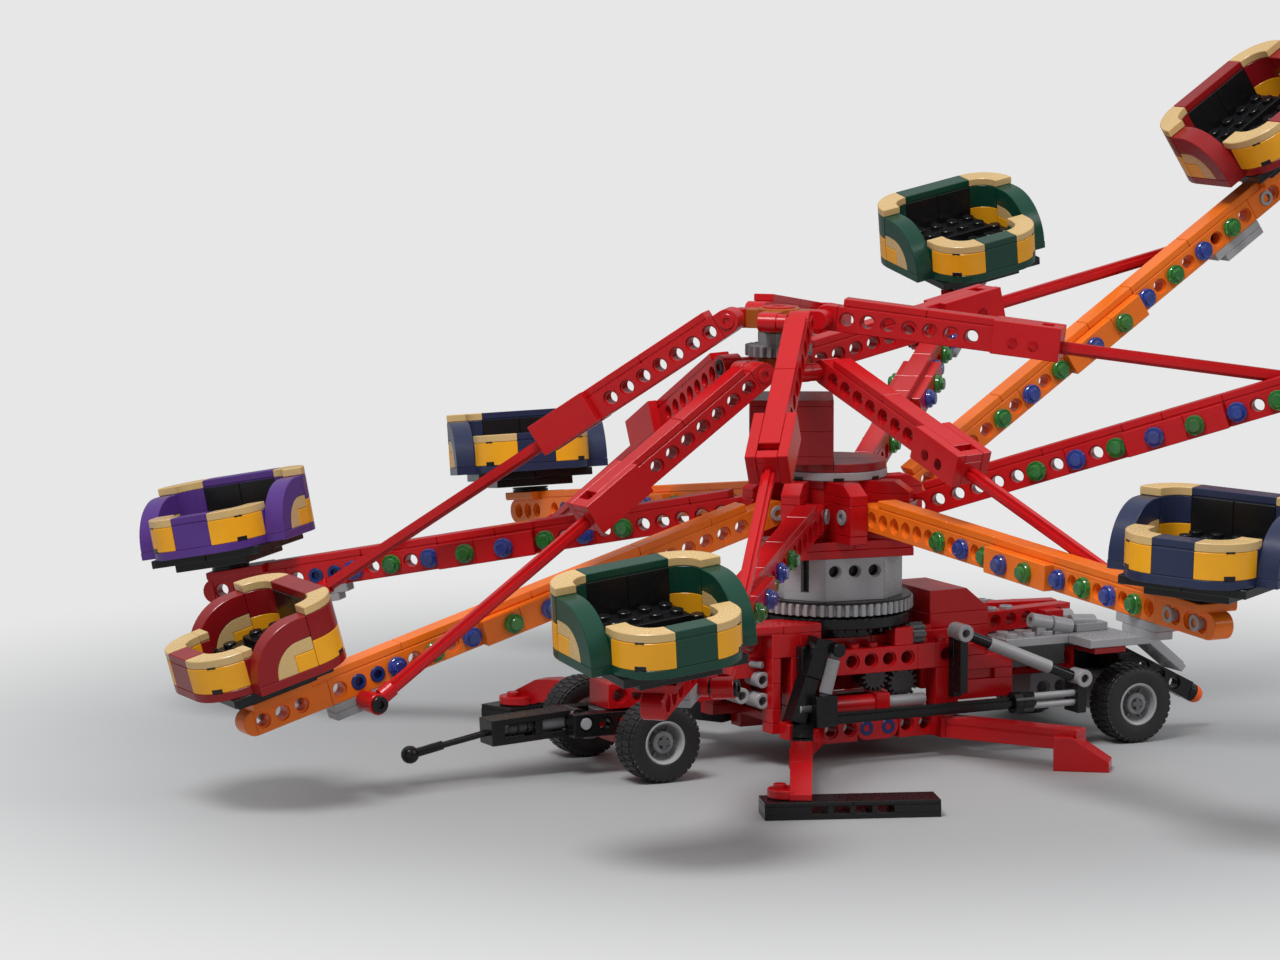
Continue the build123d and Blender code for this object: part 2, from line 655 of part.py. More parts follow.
def half_ring(cx, cy, sx, sy, z0, z1):
    """Quarter of a ring around (cx, cy), opening towards -sx and -sy."""
    ring = extrude(Pos(cx, cy, z0) * (Circle(RING_OUT) - Circle(RING_IN)), z1 - z0)
    x0, x1 = sorted((cx, cx + sx * 20))
    y0, y1 = sorted((cy, cy + sy * 20))
    return ring & block(x0, x1, y0, y1, z0 - 1, z1 + 1)


def quarter_disc(cx, cy, sx, sy, z0, z1):
    """Quarter of a disc around (cx, cy)."""
    disc = extrude(Pos(cx, cy, z0) * Circle(RING_OUT), z1 - z0)
    x0, x1 = sorted((cx, cx + sx * 20))
    y0, y1 = sorted((cy, cy + sy * 20))
    return disc & block(x0, x1, y0, y1, z0 - 1, z1 + 1)


def car_tub(index):
    """Car shell: base plates, round back corners, arched sides and a bowed front."""
    w = CAR_HALF_W
    tub = block(-w, w, -CAR_RING_Y, CAR_RING_Y, 0, PLATE)
    tub += block(-16, 16, -28, -CAR_RING_Y, 0, PLATE)
    tub += block(-8, 8, CAR_RING_Y, 28, 0, PLATE)
    for sx in (-1, 1):
        tub += quarter_disc(sx * 16, -CAR_RING_Y, sx, -1, 0, PLATE)
        tub += quarter_disc(sx * 8, CAR_RING_Y, sx, 1, 0, PLATE)
        tub += half_ring(sx * 16, -CAR_RING_Y, sx, -1, PLATE, BACK_TOP)
        tub += half_ring(sx * 8, CAR_RING_Y, sx, 1, PLATE, FRONT_TOP)
        x0, x1 = sorted((sx * 16, sx * 24))
        tub += block(x0, x1, CAR_RING_Y - 4, CAR_RING_Y, PLATE, FRONT_TOP)
        side = make_face(
            Plane.YZ
            * (
                Line((CAR_RING_Y, PLATE), (-CAR_RING_Y, PLATE))
                + Line((-CAR_RING_Y, PLATE), (-CAR_RING_Y, WALL_TOP))
                + Line((-CAR_RING_Y, WALL_TOP), (CAR_RING_Y - 19.2, WALL_TOP))
                + CenterArc((CAR_RING_Y - 19.2, PLATE), 19.2, 0, 90)
            )
        )
        tub += Pos(sx * (w - WALL_T / 2), 0, 0) * extrude(side, WALL_T / 2, both=True)
    tub += block(-16, 16, -28, -20, PLATE, BACK_TOP)
    tub += block(-8, 8, 20, 28, PLATE, FRONT_TOP)
    tub += block(-24, 24, -20, 20, -PLATE, 0)
    tub += block(-16, 16, -16, 16, -2 * PLATE, -PLATE)
    return car_place(index) * tub


def car_seat(index):
    """Black floor, bench and backrest inside a car."""
    seat = block(-24, 24, -CAR_RING_Y, CAR_RING_Y - 4, PLATE, 2 * PLATE)
    seat += block(-16, 16, -20, CAR_RING_Y, PLATE, 2 * PLATE)
    seat += block(-24, 24, -CAR_RING_Y, -4, 2 * PLATE, 12.8)
    seat += block(-16, 16, -20, -4, 2 * PLATE, 12.8)
    seat += block(-16, 16, -20, -17, 12.8, WALL_TOP)
    return car_place(index) * seat


def write(shape, node):
    """Store one node."""
    if isinstance(shape, (list, tuple)):
        shape = Compound(list(shape))
    export_step(shape, "parts/" + node + ".step")


write(chassis_frame(), "chassis_frame")
write(turntable_base(), "turntable_base")
write(rear_box(), "rear_box")
write(rear_deck(), "rear_deck")
write(rear_bumper(), "rear_bumper")
write(tail_lamps(), "tail_lamps")
write(rear_axle(), "rear_axle")
for shape, node in (
    (front_leg(), "outriggers_front"),
    (rear_leg(), "outriggers_rear"),
    (pad(), "outrigger_pads"),
    (leg_actuators(), "leg_actuators"),
):
    write([shape, mirror(shape, Plane.XZ)], node)
write(drive_gears(), "drive_gears")
for name, x, y, side in (
    ("rear_near", REAR_X, -REAR_Y, -1),
    ("rear_far", REAR_X, REAR_Y, 1),
    ("front_near", DOLLY_X, -DOLLY_Y, -1),
    ("front_far", DOLLY_X, DOLLY_Y, 1),
):
    tyre, rim = wheel(x, y, side)
    write(tyre, "tyre_" + name)
    write(rim, "rim_" + name)
write(dolly_frame(), "dolly_frame")
write(drawbar(), "drawbar")
write(toothed_ring(), "toothed_ring")
write(ring_drum(), "ring_drum")
write(tower_body(), "tower_body")
write(top_disc(), "top_disc")
write(mast_block(), "mast_block")
write(hub_spider(), "hub_spider")
write(hub_gear(), "hub_gear")
write(pivot_pins(), "pivot_pins")
write([stay(k) for k in range(0, ARM_COUNT, 2)], "stays_upper")
write([stay(k) for k in range(1, ARM_COUNT, 2)], "stays_lower")
write([car_bearing(k) for k in range(ARM_COUNT)], "car_bearings")
for k in range(ARM_COUNT):
    write(arm(k), "arm_" + str(k + 1))
    write(car_tub(k), "car_" + str(k + 1) + "_tub")
    write(car_seat(k), "car_" + str(k + 1) + "_seat")
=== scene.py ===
import math
from contextlib import contextmanager
from itertools import product

import bpy
from mathutils import Matrix, Vector


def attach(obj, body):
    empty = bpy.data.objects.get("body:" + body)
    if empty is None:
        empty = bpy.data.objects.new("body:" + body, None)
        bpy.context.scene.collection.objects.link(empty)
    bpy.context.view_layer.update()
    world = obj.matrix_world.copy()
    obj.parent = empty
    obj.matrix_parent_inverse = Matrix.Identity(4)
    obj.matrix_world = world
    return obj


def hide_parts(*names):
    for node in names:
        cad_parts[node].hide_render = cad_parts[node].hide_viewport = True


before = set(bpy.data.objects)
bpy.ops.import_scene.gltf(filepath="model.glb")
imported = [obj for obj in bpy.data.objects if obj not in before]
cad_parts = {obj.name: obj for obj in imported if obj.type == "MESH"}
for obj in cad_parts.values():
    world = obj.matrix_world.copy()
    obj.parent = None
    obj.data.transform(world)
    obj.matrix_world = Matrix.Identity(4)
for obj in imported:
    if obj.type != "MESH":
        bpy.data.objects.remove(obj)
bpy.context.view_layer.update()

# All shapes below are written in millimetres in the frame of the part and stored in metres.
MM = 0.001
STUD = 8.0
PLATE = 3.2
UP = (0, 0, 1)
# Half the width of a beam less its seam, the faces of a beam and the top of a tile on it
HALF = 3.95
BEAM_LOW, BEAM_HIGH, TILE_HIGH = -4.8, 4.8, 8.0
ARM_COUNT = 8
ARM_PIVOT_R, ARM_PIVOT_Z = 27.0, 93.4
ARM_FIRST_AZ, ARM_STEP_AZ = 47.2, 45.0
ARM_RISE = [15.8, -7.8, -10.7, -15.9, -9.0, -2.8, 18.1, 33.1]
CAR_TURN = [-135.0, 160.0, 84.0, -2.0, 44.0, -60.0, 60.0, -90.0]
ARM_END, CAR_AT, STAY_AT, STAY_SIDE, STAY_DROP = 232.0, 220.0, 184.0, 12.5, -7.0
CAR_BASE = 16.8
HUB_X, HUB_Y, HUB_LOW_Z, HUB_HIGH_Z, HUB_PIN_R = -23.4, 0.3, 147.8, 167.0, 16.0

# Camera

camera = bpy.data.objects.new("photo_camera", bpy.data.cameras.new("photo_camera"))
bpy.context.collection.objects.link(camera)
camera.location = (-0.9993, -1.8027, 0.3696)
camera.rotation_euler = (math.radians(82.652), 0.0, math.radians(-26.954))
camera.data.lens = 152.82
camera.data.sensor_width = 36.0
camera.data.clip_end = 60.0
bpy.context.scene.camera = camera
bpy.context.scene.view_settings.view_transform = "Standard"

# Materials


def node_material(name):
    mat = bpy.data.materials.new(name)
    mat.use_nodes = True
    return mat, mat.node_tree, mat.node_tree.nodes["Principled BSDF"]


def set_inputs(node, **values):
    """Sets inputs by their names, with _ for a blank."""
    for name, value in values.items():
        node.inputs[name.replace("_", " ")].default_value = value


def add_node(tree, kind, **values):
    node = tree.nodes.new("ShaderNode" + kind)
    set_inputs(node, **values)
    return node


def map_range(tree, value, to_min, to_max, from_min=0.0, from_max=1.0):
    node = add_node(tree, "MapRange", From_Min=from_min, From_Max=from_max, To_Min=to_min, To_Max=to_max)
    tree.links.new(value, node.inputs["Value"])
    return node.outputs["Result"]


def noise(tree, scale, detail=2.0, distortion=0.0):
    """Noise in the object's own coordinates."""
    node = add_node(tree, "TexNoise", Scale=scale, Detail=detail, Distortion=distortion)
    tree.links.new(add_node(tree, "TexCoord").outputs["Object"], node.inputs["Vector"])
    return node.outputs["Fac"]


def bump(tree, shader, height, strength, distance):
    node = add_node(tree, "Bump", Strength=strength, Distance=distance)
    tree.links.new(height, node.inputs["Height"])
    tree.links.new(node.outputs["Normal"], shader.inputs["Normal"])


def plastic(name, colour, rough):
    """Moulded plastic: slow colour drift, fine scratches in the gloss and a faint skin texture."""
    mat, tree, shader = node_material(name)
    tint = add_node(tree, "VectorMath")
    tint.operation = "SCALE"
    tint.inputs[0].default_value = colour
    drift = map_range(tree, noise(tree, scale=45.0, detail=3.0), 0.94, 1.06, 0.3, 0.7)
    tree.links.new(drift, tint.inputs["Scale"])
    tree.links.new(tint.outputs["Vector"], shader.inputs["Base Color"])
    scratch = noise(tree, scale=900.0, detail=4.0, distortion=1.5)
    gloss = map_range(tree, scratch, rough * 0.85, rough * 1.2, 0.35, 0.75)
    tree.links.new(gloss, shader.inputs["Roughness"])
    bump(tree, shader, scratch, strength=0.016, distance=0.00004)
    set_inputs(shader, IOR=1.5, Specular_IOR_Level=0.34)
    return mat


def clear_plastic(name, colour):
    """Clear coloured plastic for the lamps, with faint moulding swirls."""
    mat, tree, shader = node_material(name)
    tone = add_node(tree, "Mix")
    tone.data_type = "RGBA"
    set_inputs(tone, A=(*colour, 1.0), B=(*[min(1.0, c * 1.7 + 0.03) for c in colour], 1.0))
    tree.links.new(noise(tree, scale=260.0), tone.inputs["Factor"])
    tree.links.new(tone.outputs["Result"], shader.inputs["Base Color"])
    set_inputs(shader, Roughness=0.07, Transmission_Weight=0.75, IOR=1.55)
    return mat


def rubber(name):
    """Tyre rubber: dark, dull and finely grained."""
    mat, tree, shader = node_material(name)
    grit = noise(tree, scale=1500.0, detail=5.0)
    tone = add_node(tree, "ValToRGB")
    tone.color_ramp.elements[0].color = (0.004, 0.004, 0.005, 1.0)
    tone.color_ramp.elements[1].color = (0.015, 0.015, 0.015, 1.0)
    tree.links.new(grit, tone.inputs["Fac"])
    tree.links.new(tone.outputs["Color"], shader.inputs["Base Color"])
    tree.links.new(map_range(tree, grit, 0.38, 0.6), shader.inputs["Roughness"])
    bump(tree, shader, grit, strength=0.35, distance=0.0001)
    return mat


# Colour and roughness of each plastic
PLASTICS = {
    "red": ((0.50, 0.006, 0.009), 0.22),
    "dark_red": ((0.25, 0.007, 0.009), 0.24),
    "orange": ((0.83, 0.17, 0.012), 0.24),
    "yellow": ((0.86, 0.38, 0.012), 0.24),
    "tan": ((0.62, 0.42, 0.18), 0.28),
    "dark_green": ((0.006, 0.050, 0.030), 0.24),
    "dark_blue": ((0.020, 0.028, 0.070), 0.24),
    "purple": ((0.085, 0.030, 0.210), 0.24),
    "light_grey": ((0.34, 0.34, 0.35), 0.26),
    "mid_grey": ((0.20, 0.20, 0.205), 0.28),
    "dark_grey": ((0.10, 0.105, 0.11), 0.28),
    "black": ((0.008, 0.008, 0.009), 0.26),
    "pin_blue": ((0.010, 0.030, 0.150), 0.24),
    "tail_lamp": ((0.95, 0.13, 0.015), 0.18),
    # Orange darkened as painted shade, for the hub's central blocks and lugs
    "orange_painted_shade": ((0.36, 0.085, 0.012), 0.26),
}
MATS = {tone: plastic(tone + "_plastic", *values) for tone, values in PLASTICS.items()}
MATS["blue_clear"] = clear_plastic("blue_clear_plastic", (0.045, 0.105, 0.500))
MATS["green_clear"] = clear_plastic("green_clear_plastic", (0.045, 0.330, 0.060))
MATS["tyre"] = rubber("tyre_rubber")

# Mesh tools


class Piece:
    """Gathers closed bricks of several colours in one mesh."""

    def __init__(self, name, colour, at=Matrix()):
        self.name = name
        self.verts = []
        self.faces = []
        self.tones = []
        self.used = []
        self.at = at
        self.paint(colour)

    def paint(self, colour):
        if colour not in self.used:
            self.used.append(colour)
        self.tone = self.used.index(colour)

    @contextmanager
    def placed(self, matrix):
        """Builds for a while in a frame of its own."""
        keep = self.at
        self.at = keep @ matrix
        yield
        self.at = keep

    def add(self, verts, faces):
        base = len(self.verts)
        flip = self.at.determinant() < 0
        self.verts.extend((self.at @ Vector(v)) * MM for v in verts)
        for face in faces:
            ids = [base + k for k in face]
            self.faces.append(ids[::-1] if flip else ids)
            self.tones.append(self.tone)

    def box(self, x0, x1, y0, y1, z0, z1, bevel=0.22, skip=()):
        """Box with chamfered edges, its bounds in any order; skip leaves out faces across y for other cells."""
        lo, hi = zip(*(sorted(pair) for pair in ((x0, x1), (y0, y1), (z0, z1))))
        bevel = min(bevel, 0.3 * min(b - a for a, b in zip(lo, hi)))
        corners = list(product((0, 1), repeat=3))
        ids, verts = {}, []
        for corner, axis in product(corners, range(3)):
            edge = [0 if k == axis else bevel for k in range(3)]
            ids[corner, axis] = len(verts)
            verts.append([hi[k] - edge[k] if corner[k] else lo[k] + edge[k] for k in range(3)])
        faces = [[ids[corner, axis] for axis in range(3)] for corner in corners]
        for axis in range(3):
            a, b = [k for k in range(3) if k != axis]
            for side in (0, 1):
                if axis == 1 and side in skip:
                    continue
                loop = []
                for sa, sb in ((0, 0), (1, 0), (1, 1), (0, 1)):
                    corner = [side] * 3
                    corner[a], corner[b] = sa, sb
                    loop.append(ids[tuple(corner), axis])
                faces.append(loop)
            for sa, sb in product((0, 1), repeat=2):
                low, high = [0] * 3, [1] * 3
                low[a] = high[a] = sa
                low[b] = high[b] = sb
                low, high = tuple(low), tuple(high)
                faces.append([ids[low, a], ids[high, a], ids[high, b], ids[low, b]])
        mid = (Vector(lo) + Vector(hi)) / 2
        self.add(verts, [outward(verts, face, mid) for face in faces])

    def bricks(self, y0, y1, *rows):
        """Boxes between two planes across y; a row is x0, x1, z0, z1."""
        for row in rows:
            self.box(row[0], row[1], y0, y1, row[2], row[3])

    def quarters(self, x, y, z0, z1):
        """Four boxes about the middle, with seams between them."""
        for sx, sy in product((-1, 1), repeat=2):
            self.box(sx * 0.05, sx * x, sy * 0.05, sy * y, z0, z1)

    def prism(self, outline, axis, d0, d1, bevel=0.2):
        """Extrudes a flat outline along an axis, with chamfered rims; along y its points are (z, x)."""
        area = sum(xa * yb - xb * ya for (xa, ya), (xb, yb) in zip(outline[-1:] + outline[:-1], outline))
        if area < 0:
            outline = outline[::-1]
        rings = [(outline, d0), (outline, d1)]
        if bevel > 0:
            inner = inset(outline, bevel)
            rings = [(inner, d0), (outline, d0 + bevel), (outline, d1 - bevel), (inner, d1)]
        n = len(outline)
        verts = []
        for ring, depth in rings:
            for a, b in ring:
                verts.append({"x": (depth, a, b), "y": (b, depth, a), "z": (a, b, depth)}[axis])
        last = (len(rings) - 1) * n
        self.add(verts, [list(range(n))[::-1], list(range(last, last + n))] + bands(0, len(rings) - 1, n))

    def lathe(self, start, direction, profile, sides=16, twist=0):
        """Turns a profile of (radius, distance) about an axis; one that starts off the axis is closed."""
        axis = Vector(direction).normalized()
        side = axis.orthogonal().normalized()
        if abs(axis.z) < 0.9:
            side = Vector((0, 0, 1)).cross(axis).normalized()
        up = axis.cross(side)
        verts, rows = [], []
        for radius, depth in profile:
            centre = Vector(start) + axis * depth
            first = len(verts)
            if radius < 1e-6:
                verts.append(centre)
            else:
                for k in range(sides):
                    angle = 2 * math.pi * k / sides + twist
                    verts.append(centre + side * (radius * math.cos(angle)) + up * (radius * math.sin(angle)))
            rows.append(list(range(first, len(verts))))
        pairs = list(zip(rows, rows[1:]))
        if profile[0][0] > 1e-6 and profile[-1][0] > 1e-6:
            pairs.append((rows[-1], rows[0]))
        faces = []
        for a, b in pairs:
            for k in range(sides):
                j = (k + 1) % sides
                if len(a) == 1:
                    faces.append([a[0], b[j], b[k]])
                elif len(b) == 1:
                    faces.append([a[k], a[j], b[0]])
                else:
                    faces.append([a[k], a[j], b[j], b[k]])
        self.add(verts, faces)

    def rod(self, start, end, radius, sides=14, chamfer=0.25):
        axis = Vector(end) - Vector(start)
        length = axis.length
        c = min(chamfer, radius * 0.4, length * 0.3)
        edge = [(radius - c, 0), (radius, c), (radius, length - c), (radius - c, length)]
        self.lathe(start, axis, [(0, 0)] + edge + [(0, length)], sides)

    def tube(self, start, end, outer, bore, sides=14):
        axis = Vector(end) - Vector(start)
        length = axis.length
        c = min(0.25, (outer - bore) * 0.4)
        edge = [(outer - c, 0), (outer, c), (outer, length - c), (outer - c, length)]
        self.lathe(start, axis, [(bore, 0)] + edge + [(bore, length)], sides)

    def axle(self, start, end, r=2.3, a=0.9):
        """Cross-shaped axle between two points; r is its reach and a is half the width of an arm."""
        outline = [(a, a), (r, a), (r, -a)]
        for _ in range(3):
            outline += [(y, -x) for x, y in outline[-3:]]
        along = Vector(end) - Vector(start)
        with self.placed(frame_to(start, along)):
            self.prism(outline, "z", 0, along.length, 0.12)

    def stud(self, x, y, z):
        self.lathe((x, y, z), UP, [(0, -0.1), (2.4, -0.1), (2.4, 1.5), (2.2, 1.7), (0, 1.7)], 14)

    def tile(self, x0, x1, y0, y1, z):
        """Smooth plate with the small groove that real ones have at the foot."""
        self.box(x0 + 0.3, x1 - 0.3, y0 + 0.3, y1 - 0.3, z, z + 0.5, 0.05)
        self.box(x0 + 0.05, x1 - 0.05, y0 + 0.05, y1 - 0.05, z + 0.45, z + PLATE, 0.25)

    def holed(self, x0, x1, y0, y1, z0, z1, holes, radius=2.4, rim=3.1, bevel=0.22):
        """Beam with round holes across y, each with its stepped rim; holes are (x, z)."""
        if not holes:
            self.box(x0, x1, y0, y1, z0, z1, bevel)
            return
        self.box(x0, x1, y0, y1, z0, z1, bevel, skip=(0, 1))
        sides, quarter, depth = 16, 4, 0.9
        circle = arc(0, 0, 1, 0, 360 - 360 / sides, sides - 1)
        holes = sorted(holes)
        cuts = [x0 + bevel] + [(a[0] + b[0]) / 2 for a, b in zip(holes, holes[1:])] + [x1 - bevel]
        low, high = z0 + bevel, z1 - bevel
        for (hx, hz), left, right in zip(holes, cuts, cuts[1:]):
            for plane, sign in ((y0, -1), (y1, 1)):
                verts = [(right, plane, low), (right, plane, high), (left, plane, high), (left, plane, low)]
                for r, d in ((rim, 0), (rim, depth), (radius, depth)):
                    verts += [(hx + r * c, plane - sign * d, hz + r * s) for c, s in circle]
                faces = bands(4, 2, sides)
                for corner in range(4):
                    first = corner * quarter
                    after = (corner + 1) % 4
                    faces.append([corner, after, 4 + first])
                    for k in range(first, first + quarter):
                        faces.append([after, 4 + k, 4 + (k + 1) % sides])
                self.add(verts, [face[::-1] for face in faces] if sign < 0 else faces)
            verts = []
            for y in (y0 + depth, y1 - depth):
                verts += [(hx + radius * c, y, hz + radius * s) for c, s in circle]
            self.add(verts, bands(0, 1, sides))

    def lamp(self, x, y, z, sign, colour):
        """Faceted clear lamp on a side face."""
        self.paint(colour)
        profile = [(0, 0), (3, 0), (3, 0.6), (3.8, 0.7), (3.8, 2.2), (3.5, 2.6), (2.6, 2.7), (2.4, 3.9),
                   (2.1, 4.2), (0, 4.2)]
        self.lathe((x, y - sign * 0.6, z), (0, sign, 0), profile, 14, 0.2)

    def finish(self, body, node):
        """Makes the object, on its body and in place of its CAD node."""
        mesh = bpy.data.meshes.new(self.name)
        mesh.from_pydata([tuple(v) for v in self.verts], [], self.faces)
        for colour in self.used:
            mesh.materials.append(MATS[colour])
        mesh.polygons.foreach_set("material_index", self.tones)
        mesh.polygons.foreach_set("use_smooth", [True] * len(self.faces))
        mesh.update()
        mesh.set_sharp_from_angle(angle=math.radians(32))
        obj = bpy.data.objects.new(self.name, mesh)
        bpy.context.collection.objects.link(obj)
        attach(obj, body)
        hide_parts(node)


def bands(first, count, sides):
    """Quads between neighbouring rings that all have the same number of points."""
    faces = []
    for base in range(first, first + count * sides, sides):
        for k in range(sides):
            j = (k + 1) % sides
            faces.append([base + k, base + j, base + sides + j, base + sides + k])
    return faces


def outward(verts, face, mid):
    """Turns a face of a convex solid so that it looks away from the middle."""
    a, b, c = (Vector(verts[k]) for k in face[:3])
    normal = (b - a).cross(c - a)
    return face if normal.dot(a - mid) > 0 else face[::-1]


def inset(outline, depth):
    """Counter-clockwise outline moved inwards by a small depth."""
    result = []
    for k, point in enumerate(outline):
        q = Vector(point)
        d1 = q - Vector(outline[k - 1])
        d2 = Vector(outline[(k + 1) % len(outline)]) - q
        if d1.length < 1e-9 or d2.length < 1e-9:
            result.append(tuple(q))
            continue
        d1.normalize()
        d2.normalize()
        n1, n2 = Vector((-d1.y, d1.x)), Vector((-d2.y, d2.x))
        result.append(tuple(q + (n1 + n2) * (depth / max(0.35, 1 + n1.dot(n2)))))
    return result


def axes(origin, x, y, z):
    m = Matrix((Vector(x), Vector(y), Vector(z))).transposed().to_4x4()
    m.translation = Vector(origin)
    return m


def frame_to(start, direction):
    """Frame whose z axis runs along a direction."""
    z = Vector(direction).normalized()
    x = Vector((0, 0, 1)).cross(z)
    if x.length < 1e-4:
        x = Vector((1, 0, 0))
    x.normalize()
    return axes(start, x, z.cross(x), z)


def pitched(origin, run, rise):
    """Frame whose x axis climbs by rise over run."""
    length = math.hypot(run, rise)
    return axes(origin, (run / length, 0, rise / length), (0, 1, 0), (-rise / length, 0, run / length))


def sideways(origin):
    """Frame whose z axis runs along x."""
    return axes(origin, (0, 1, 0), (0, 0, 1), (1, 0, 0))


def turn_z(degrees):
    return Matrix.Rotation(math.radians(degrees), 4, "Z")


def turn_y(degrees):
    return Matrix.Rotation(math.radians(degrees), 4, "Y")


def move(x, y, z):
    return Matrix.Translation((x, y, z))


def arc(cx, cy, radius, a0, a1, steps):
    """Points on an arc in degrees."""
    points = []
    for k in range(steps + 1):
        angle = math.radians(a0 + (a1 - a0) * k / steps)
        points.append((cx + radius * math.cos(angle), cy + radius * math.sin(angle)))
    return points


def heading(index):
    return turn_z(ARM_FIRST_AZ + ARM_STEP_AZ * index)


def arm_place(index):
    return heading(index) @ move(ARM_PIVOT_R, 0, ARM_PIVOT_Z) @ turn_y(-ARM_RISE[index])


def car_place(index):
    return arm_place(index) @ move(CAR_AT, 0, CAR_BASE) @ turn_z(CAR_TURN[index] - 90)


# Cars

CAR_COLOURS = ["dark_green", "dark_blue", "purple", "dark_red"] * 2
WALL_ARC, WALL_TOP, RAIL_TOP, BENCH_TOP = 19.2, 22.4, 12.8, 9.6
CAR_FLOOR = PLATE + 0.05


def quarter_ring(sx, cx, cy, sy):
    """Outline of a quarter ring round a corner centre, mirrored by sx and sy."""
    points = arc(0, 0, 2 * STUD, 0, 90, 8) + arc(0, 0, STUD, 90, 0, 8)
    return [(cx + sx * a, cy + sy * b) for a, b in points]


def car_wall(piece, colour, x0, x1):
    """Side wall: arch band of the car's colour, tan quarter arc and yellow block."""
    low, centre = CAR_FLOOR, 12 - WALL_ARC
    band = arc(centre, low, WALL_ARC, 0, 90, 14) + [(-11.95, low + WALL_ARC), (-11.95, low + 11.6)]
    band += arc(centre, low, 11.4, 90, 0, 10)
    inner = arc(centre, low, 11.3, 0, 90, 10) + [(-11.95, low + 11.3), (-11.95, low + 6.5)]
    inner += [(-3.95, low + 6.5), (-3.95, low)]
    with piece.placed(Matrix(((0, 0, 1, 0), (1, 0, 0, 0), (0, 1, 0, 0), (0, 0, 0, 1)))):
        piece.paint(colour)
        piece.prism(band, "z", x0, x1, 0.25)
        piece.paint("tan")
        piece.prism(inner, "z", x0 + 0.1, x1 - 0.1, 0.2)
    piece.paint("yellow")
    piece.box(x0 + 0.05, x1 - 0.05, -11.95, -4, low, low + 6.4, 0.2)


def car_tub(body, place, colour):
    """Tub of a car: base, side walls, rounded corners, back wall, front panel and the plates below."""
    piece = Piece(body + "_body", colour, place)
    for half, y0, y1 in ((32, -12, 12), (16, -28, -12.05), (8, 12.05, 28)):
        piece.prism([(-half, y0), (half, y0), (half, y1), (-half, y1)], "z", 0, PLATE)
    corner = [(0, 0)] + arc(0, 0, 16, 0, 90, 8)
    # corner bricks: centre, side, seam, colour, heights and chamfer
    tiers = ((16, -1, 0.05, "yellow", CAR_FLOOR, 12.75, 0.2), (16, -1, 0.05, colour, 12.85, WALL_TOP, 0.2),
             (16, -1, 0, "tan", WALL_TOP + 0.05, WALL_TOP + PLATE, 0.3),
             (8, 1, 0.05, "yellow", CAR_FLOOR, 12.75, 0.2), (8, 1, 0, "tan", RAIL_TOP, RAIL_TOP + PLATE, 0.3))
    for sx in (-1, 1):
        piece.paint(colour)
        for cx, sy in ((16, -1), (8, 1)):
            piece.prism([(sx * (cx + a), sy * (12 + b + 0.05)) for a, b in corner], "z", 0, PLATE)
        car_wall(piece, colour, *sorted((sx * 24.05, sx * 31.95)))
        for cx, sy, seam, tone, z0, z1, bevel in tiers:
            piece.paint(tone)
            piece.prism(quarter_ring(sx, sx * cx, sy * (12 + seam), sy), "z", z0, z1, bevel)
        # dark notches in the rounded corners
        piece.paint("black")
        for cx, cy, turn in ((8, 12, 45), (16, -12, -45)):
            with piece.placed(move(sx * cx, cy, 0) @ turn_z(turn if sx > 0 else 180 - turn)):
                piece.box(14.9, 16.06, -2, 2, PLATE + 0.02, PLATE + 1.6, 0.05)
                if cy > 0:
                    piece.box(14.9, 16.04, -1.6, 1.6, 12.5, 13.2, 0.05)
        x0, x1 = sorted((sx * 16.1, sx * 24))
        piece.paint(colour)
        piece.box(x0, x1, 8, 11.95, PLATE, RAIL_TOP)
        piece.paint("tan")
        piece.tile(x0, x1, 8, 12, RAIL_TOP)
    # back wall and front panel
    piece.paint(colour)
    piece.box(-15.95, 15.95, -27.95, -24, CAR_FLOOR, WALL_TOP)
    piece.tile(-16, 16, -28, -20, WALL_TOP)
    piece.box(-7.95, 7.95, 20.05, 27.95, CAR_FLOOR, RAIL_TOP)
    piece.tile(-8, 8, 20, 28, RAIL_TOP)
    # black plates under the car
    piece.paint("black")
    piece.quarters(24, 20, -PLATE, -0.02)
    piece.box(-16, 16, -16, 16, -2 * PLATE, -PLATE - 0.02)
    piece.finish(body, body + "_tub")


def car_bench(body, place):
    """Black floor, bench and back rest with their studs."""
    piece = Piece(body + "_bench", "black", place)
    floor = 2 * PLATE
    for x, y0, y1, z0, z1 in ((23.9, -11.95, 11.9, PLATE, floor), (15.9, -23.9, -12, PLATE, floor),
                              (7.9, 12, 20, PLATE, floor), (15.9, -11.95, -4, floor, BENCH_TOP),
                              (15.9, -19.9, -12, floor, BENCH_TOP)):
        piece.box(-x, x, y0, y1, z0, z1)
    piece.bricks(-23.95, -20, (-15.9, -0.05, floor, WALL_TOP), (0.05, 15.9, floor, WALL_TOP))
    for x in range(-20, 21, 8):
        piece.stud(x, -8, BENCH_TOP if abs(x) < 16 else floor)
        if abs(x) < 16:
            piece.stud(x, -16, BENCH_TOP)
        if abs(x) < 8:
            piece.stud(x, 16, floor)
        for y in (0, 8):
            piece.stud(x, y, floor)
    piece.finish(body, body + "_seat")


for number in range(ARM_COUNT):
    car_name = "car_%d" % (number + 1)
    car_tub(car_name, car_place(number), CAR_COLOURS[number])
    car_bench(car_name, car_place(number))

# Arms

# Places along an arm, in studs from its pivot: lamps, and closed brick with no hole
LAMPS = {k: "blue" if k % 4 == 1 else "green" for k in range(7, 24, 2)}
PLAIN = {12, 13, 14, 15, 16, 25}


def ring_pin(piece, x, sign, colour, out):
    """End of a pin in a side hole."""
    piece.paint(colour)
    profile = [(0, 0), (3, 0), (3, 1.8 + out), (2.8, 2 + out), (1.75, 2 + out), (1.75, 0.8), (0, 0.8)]
    piece.lathe((x, sign * 2, 0), (0, sign, 0), profile, 14)


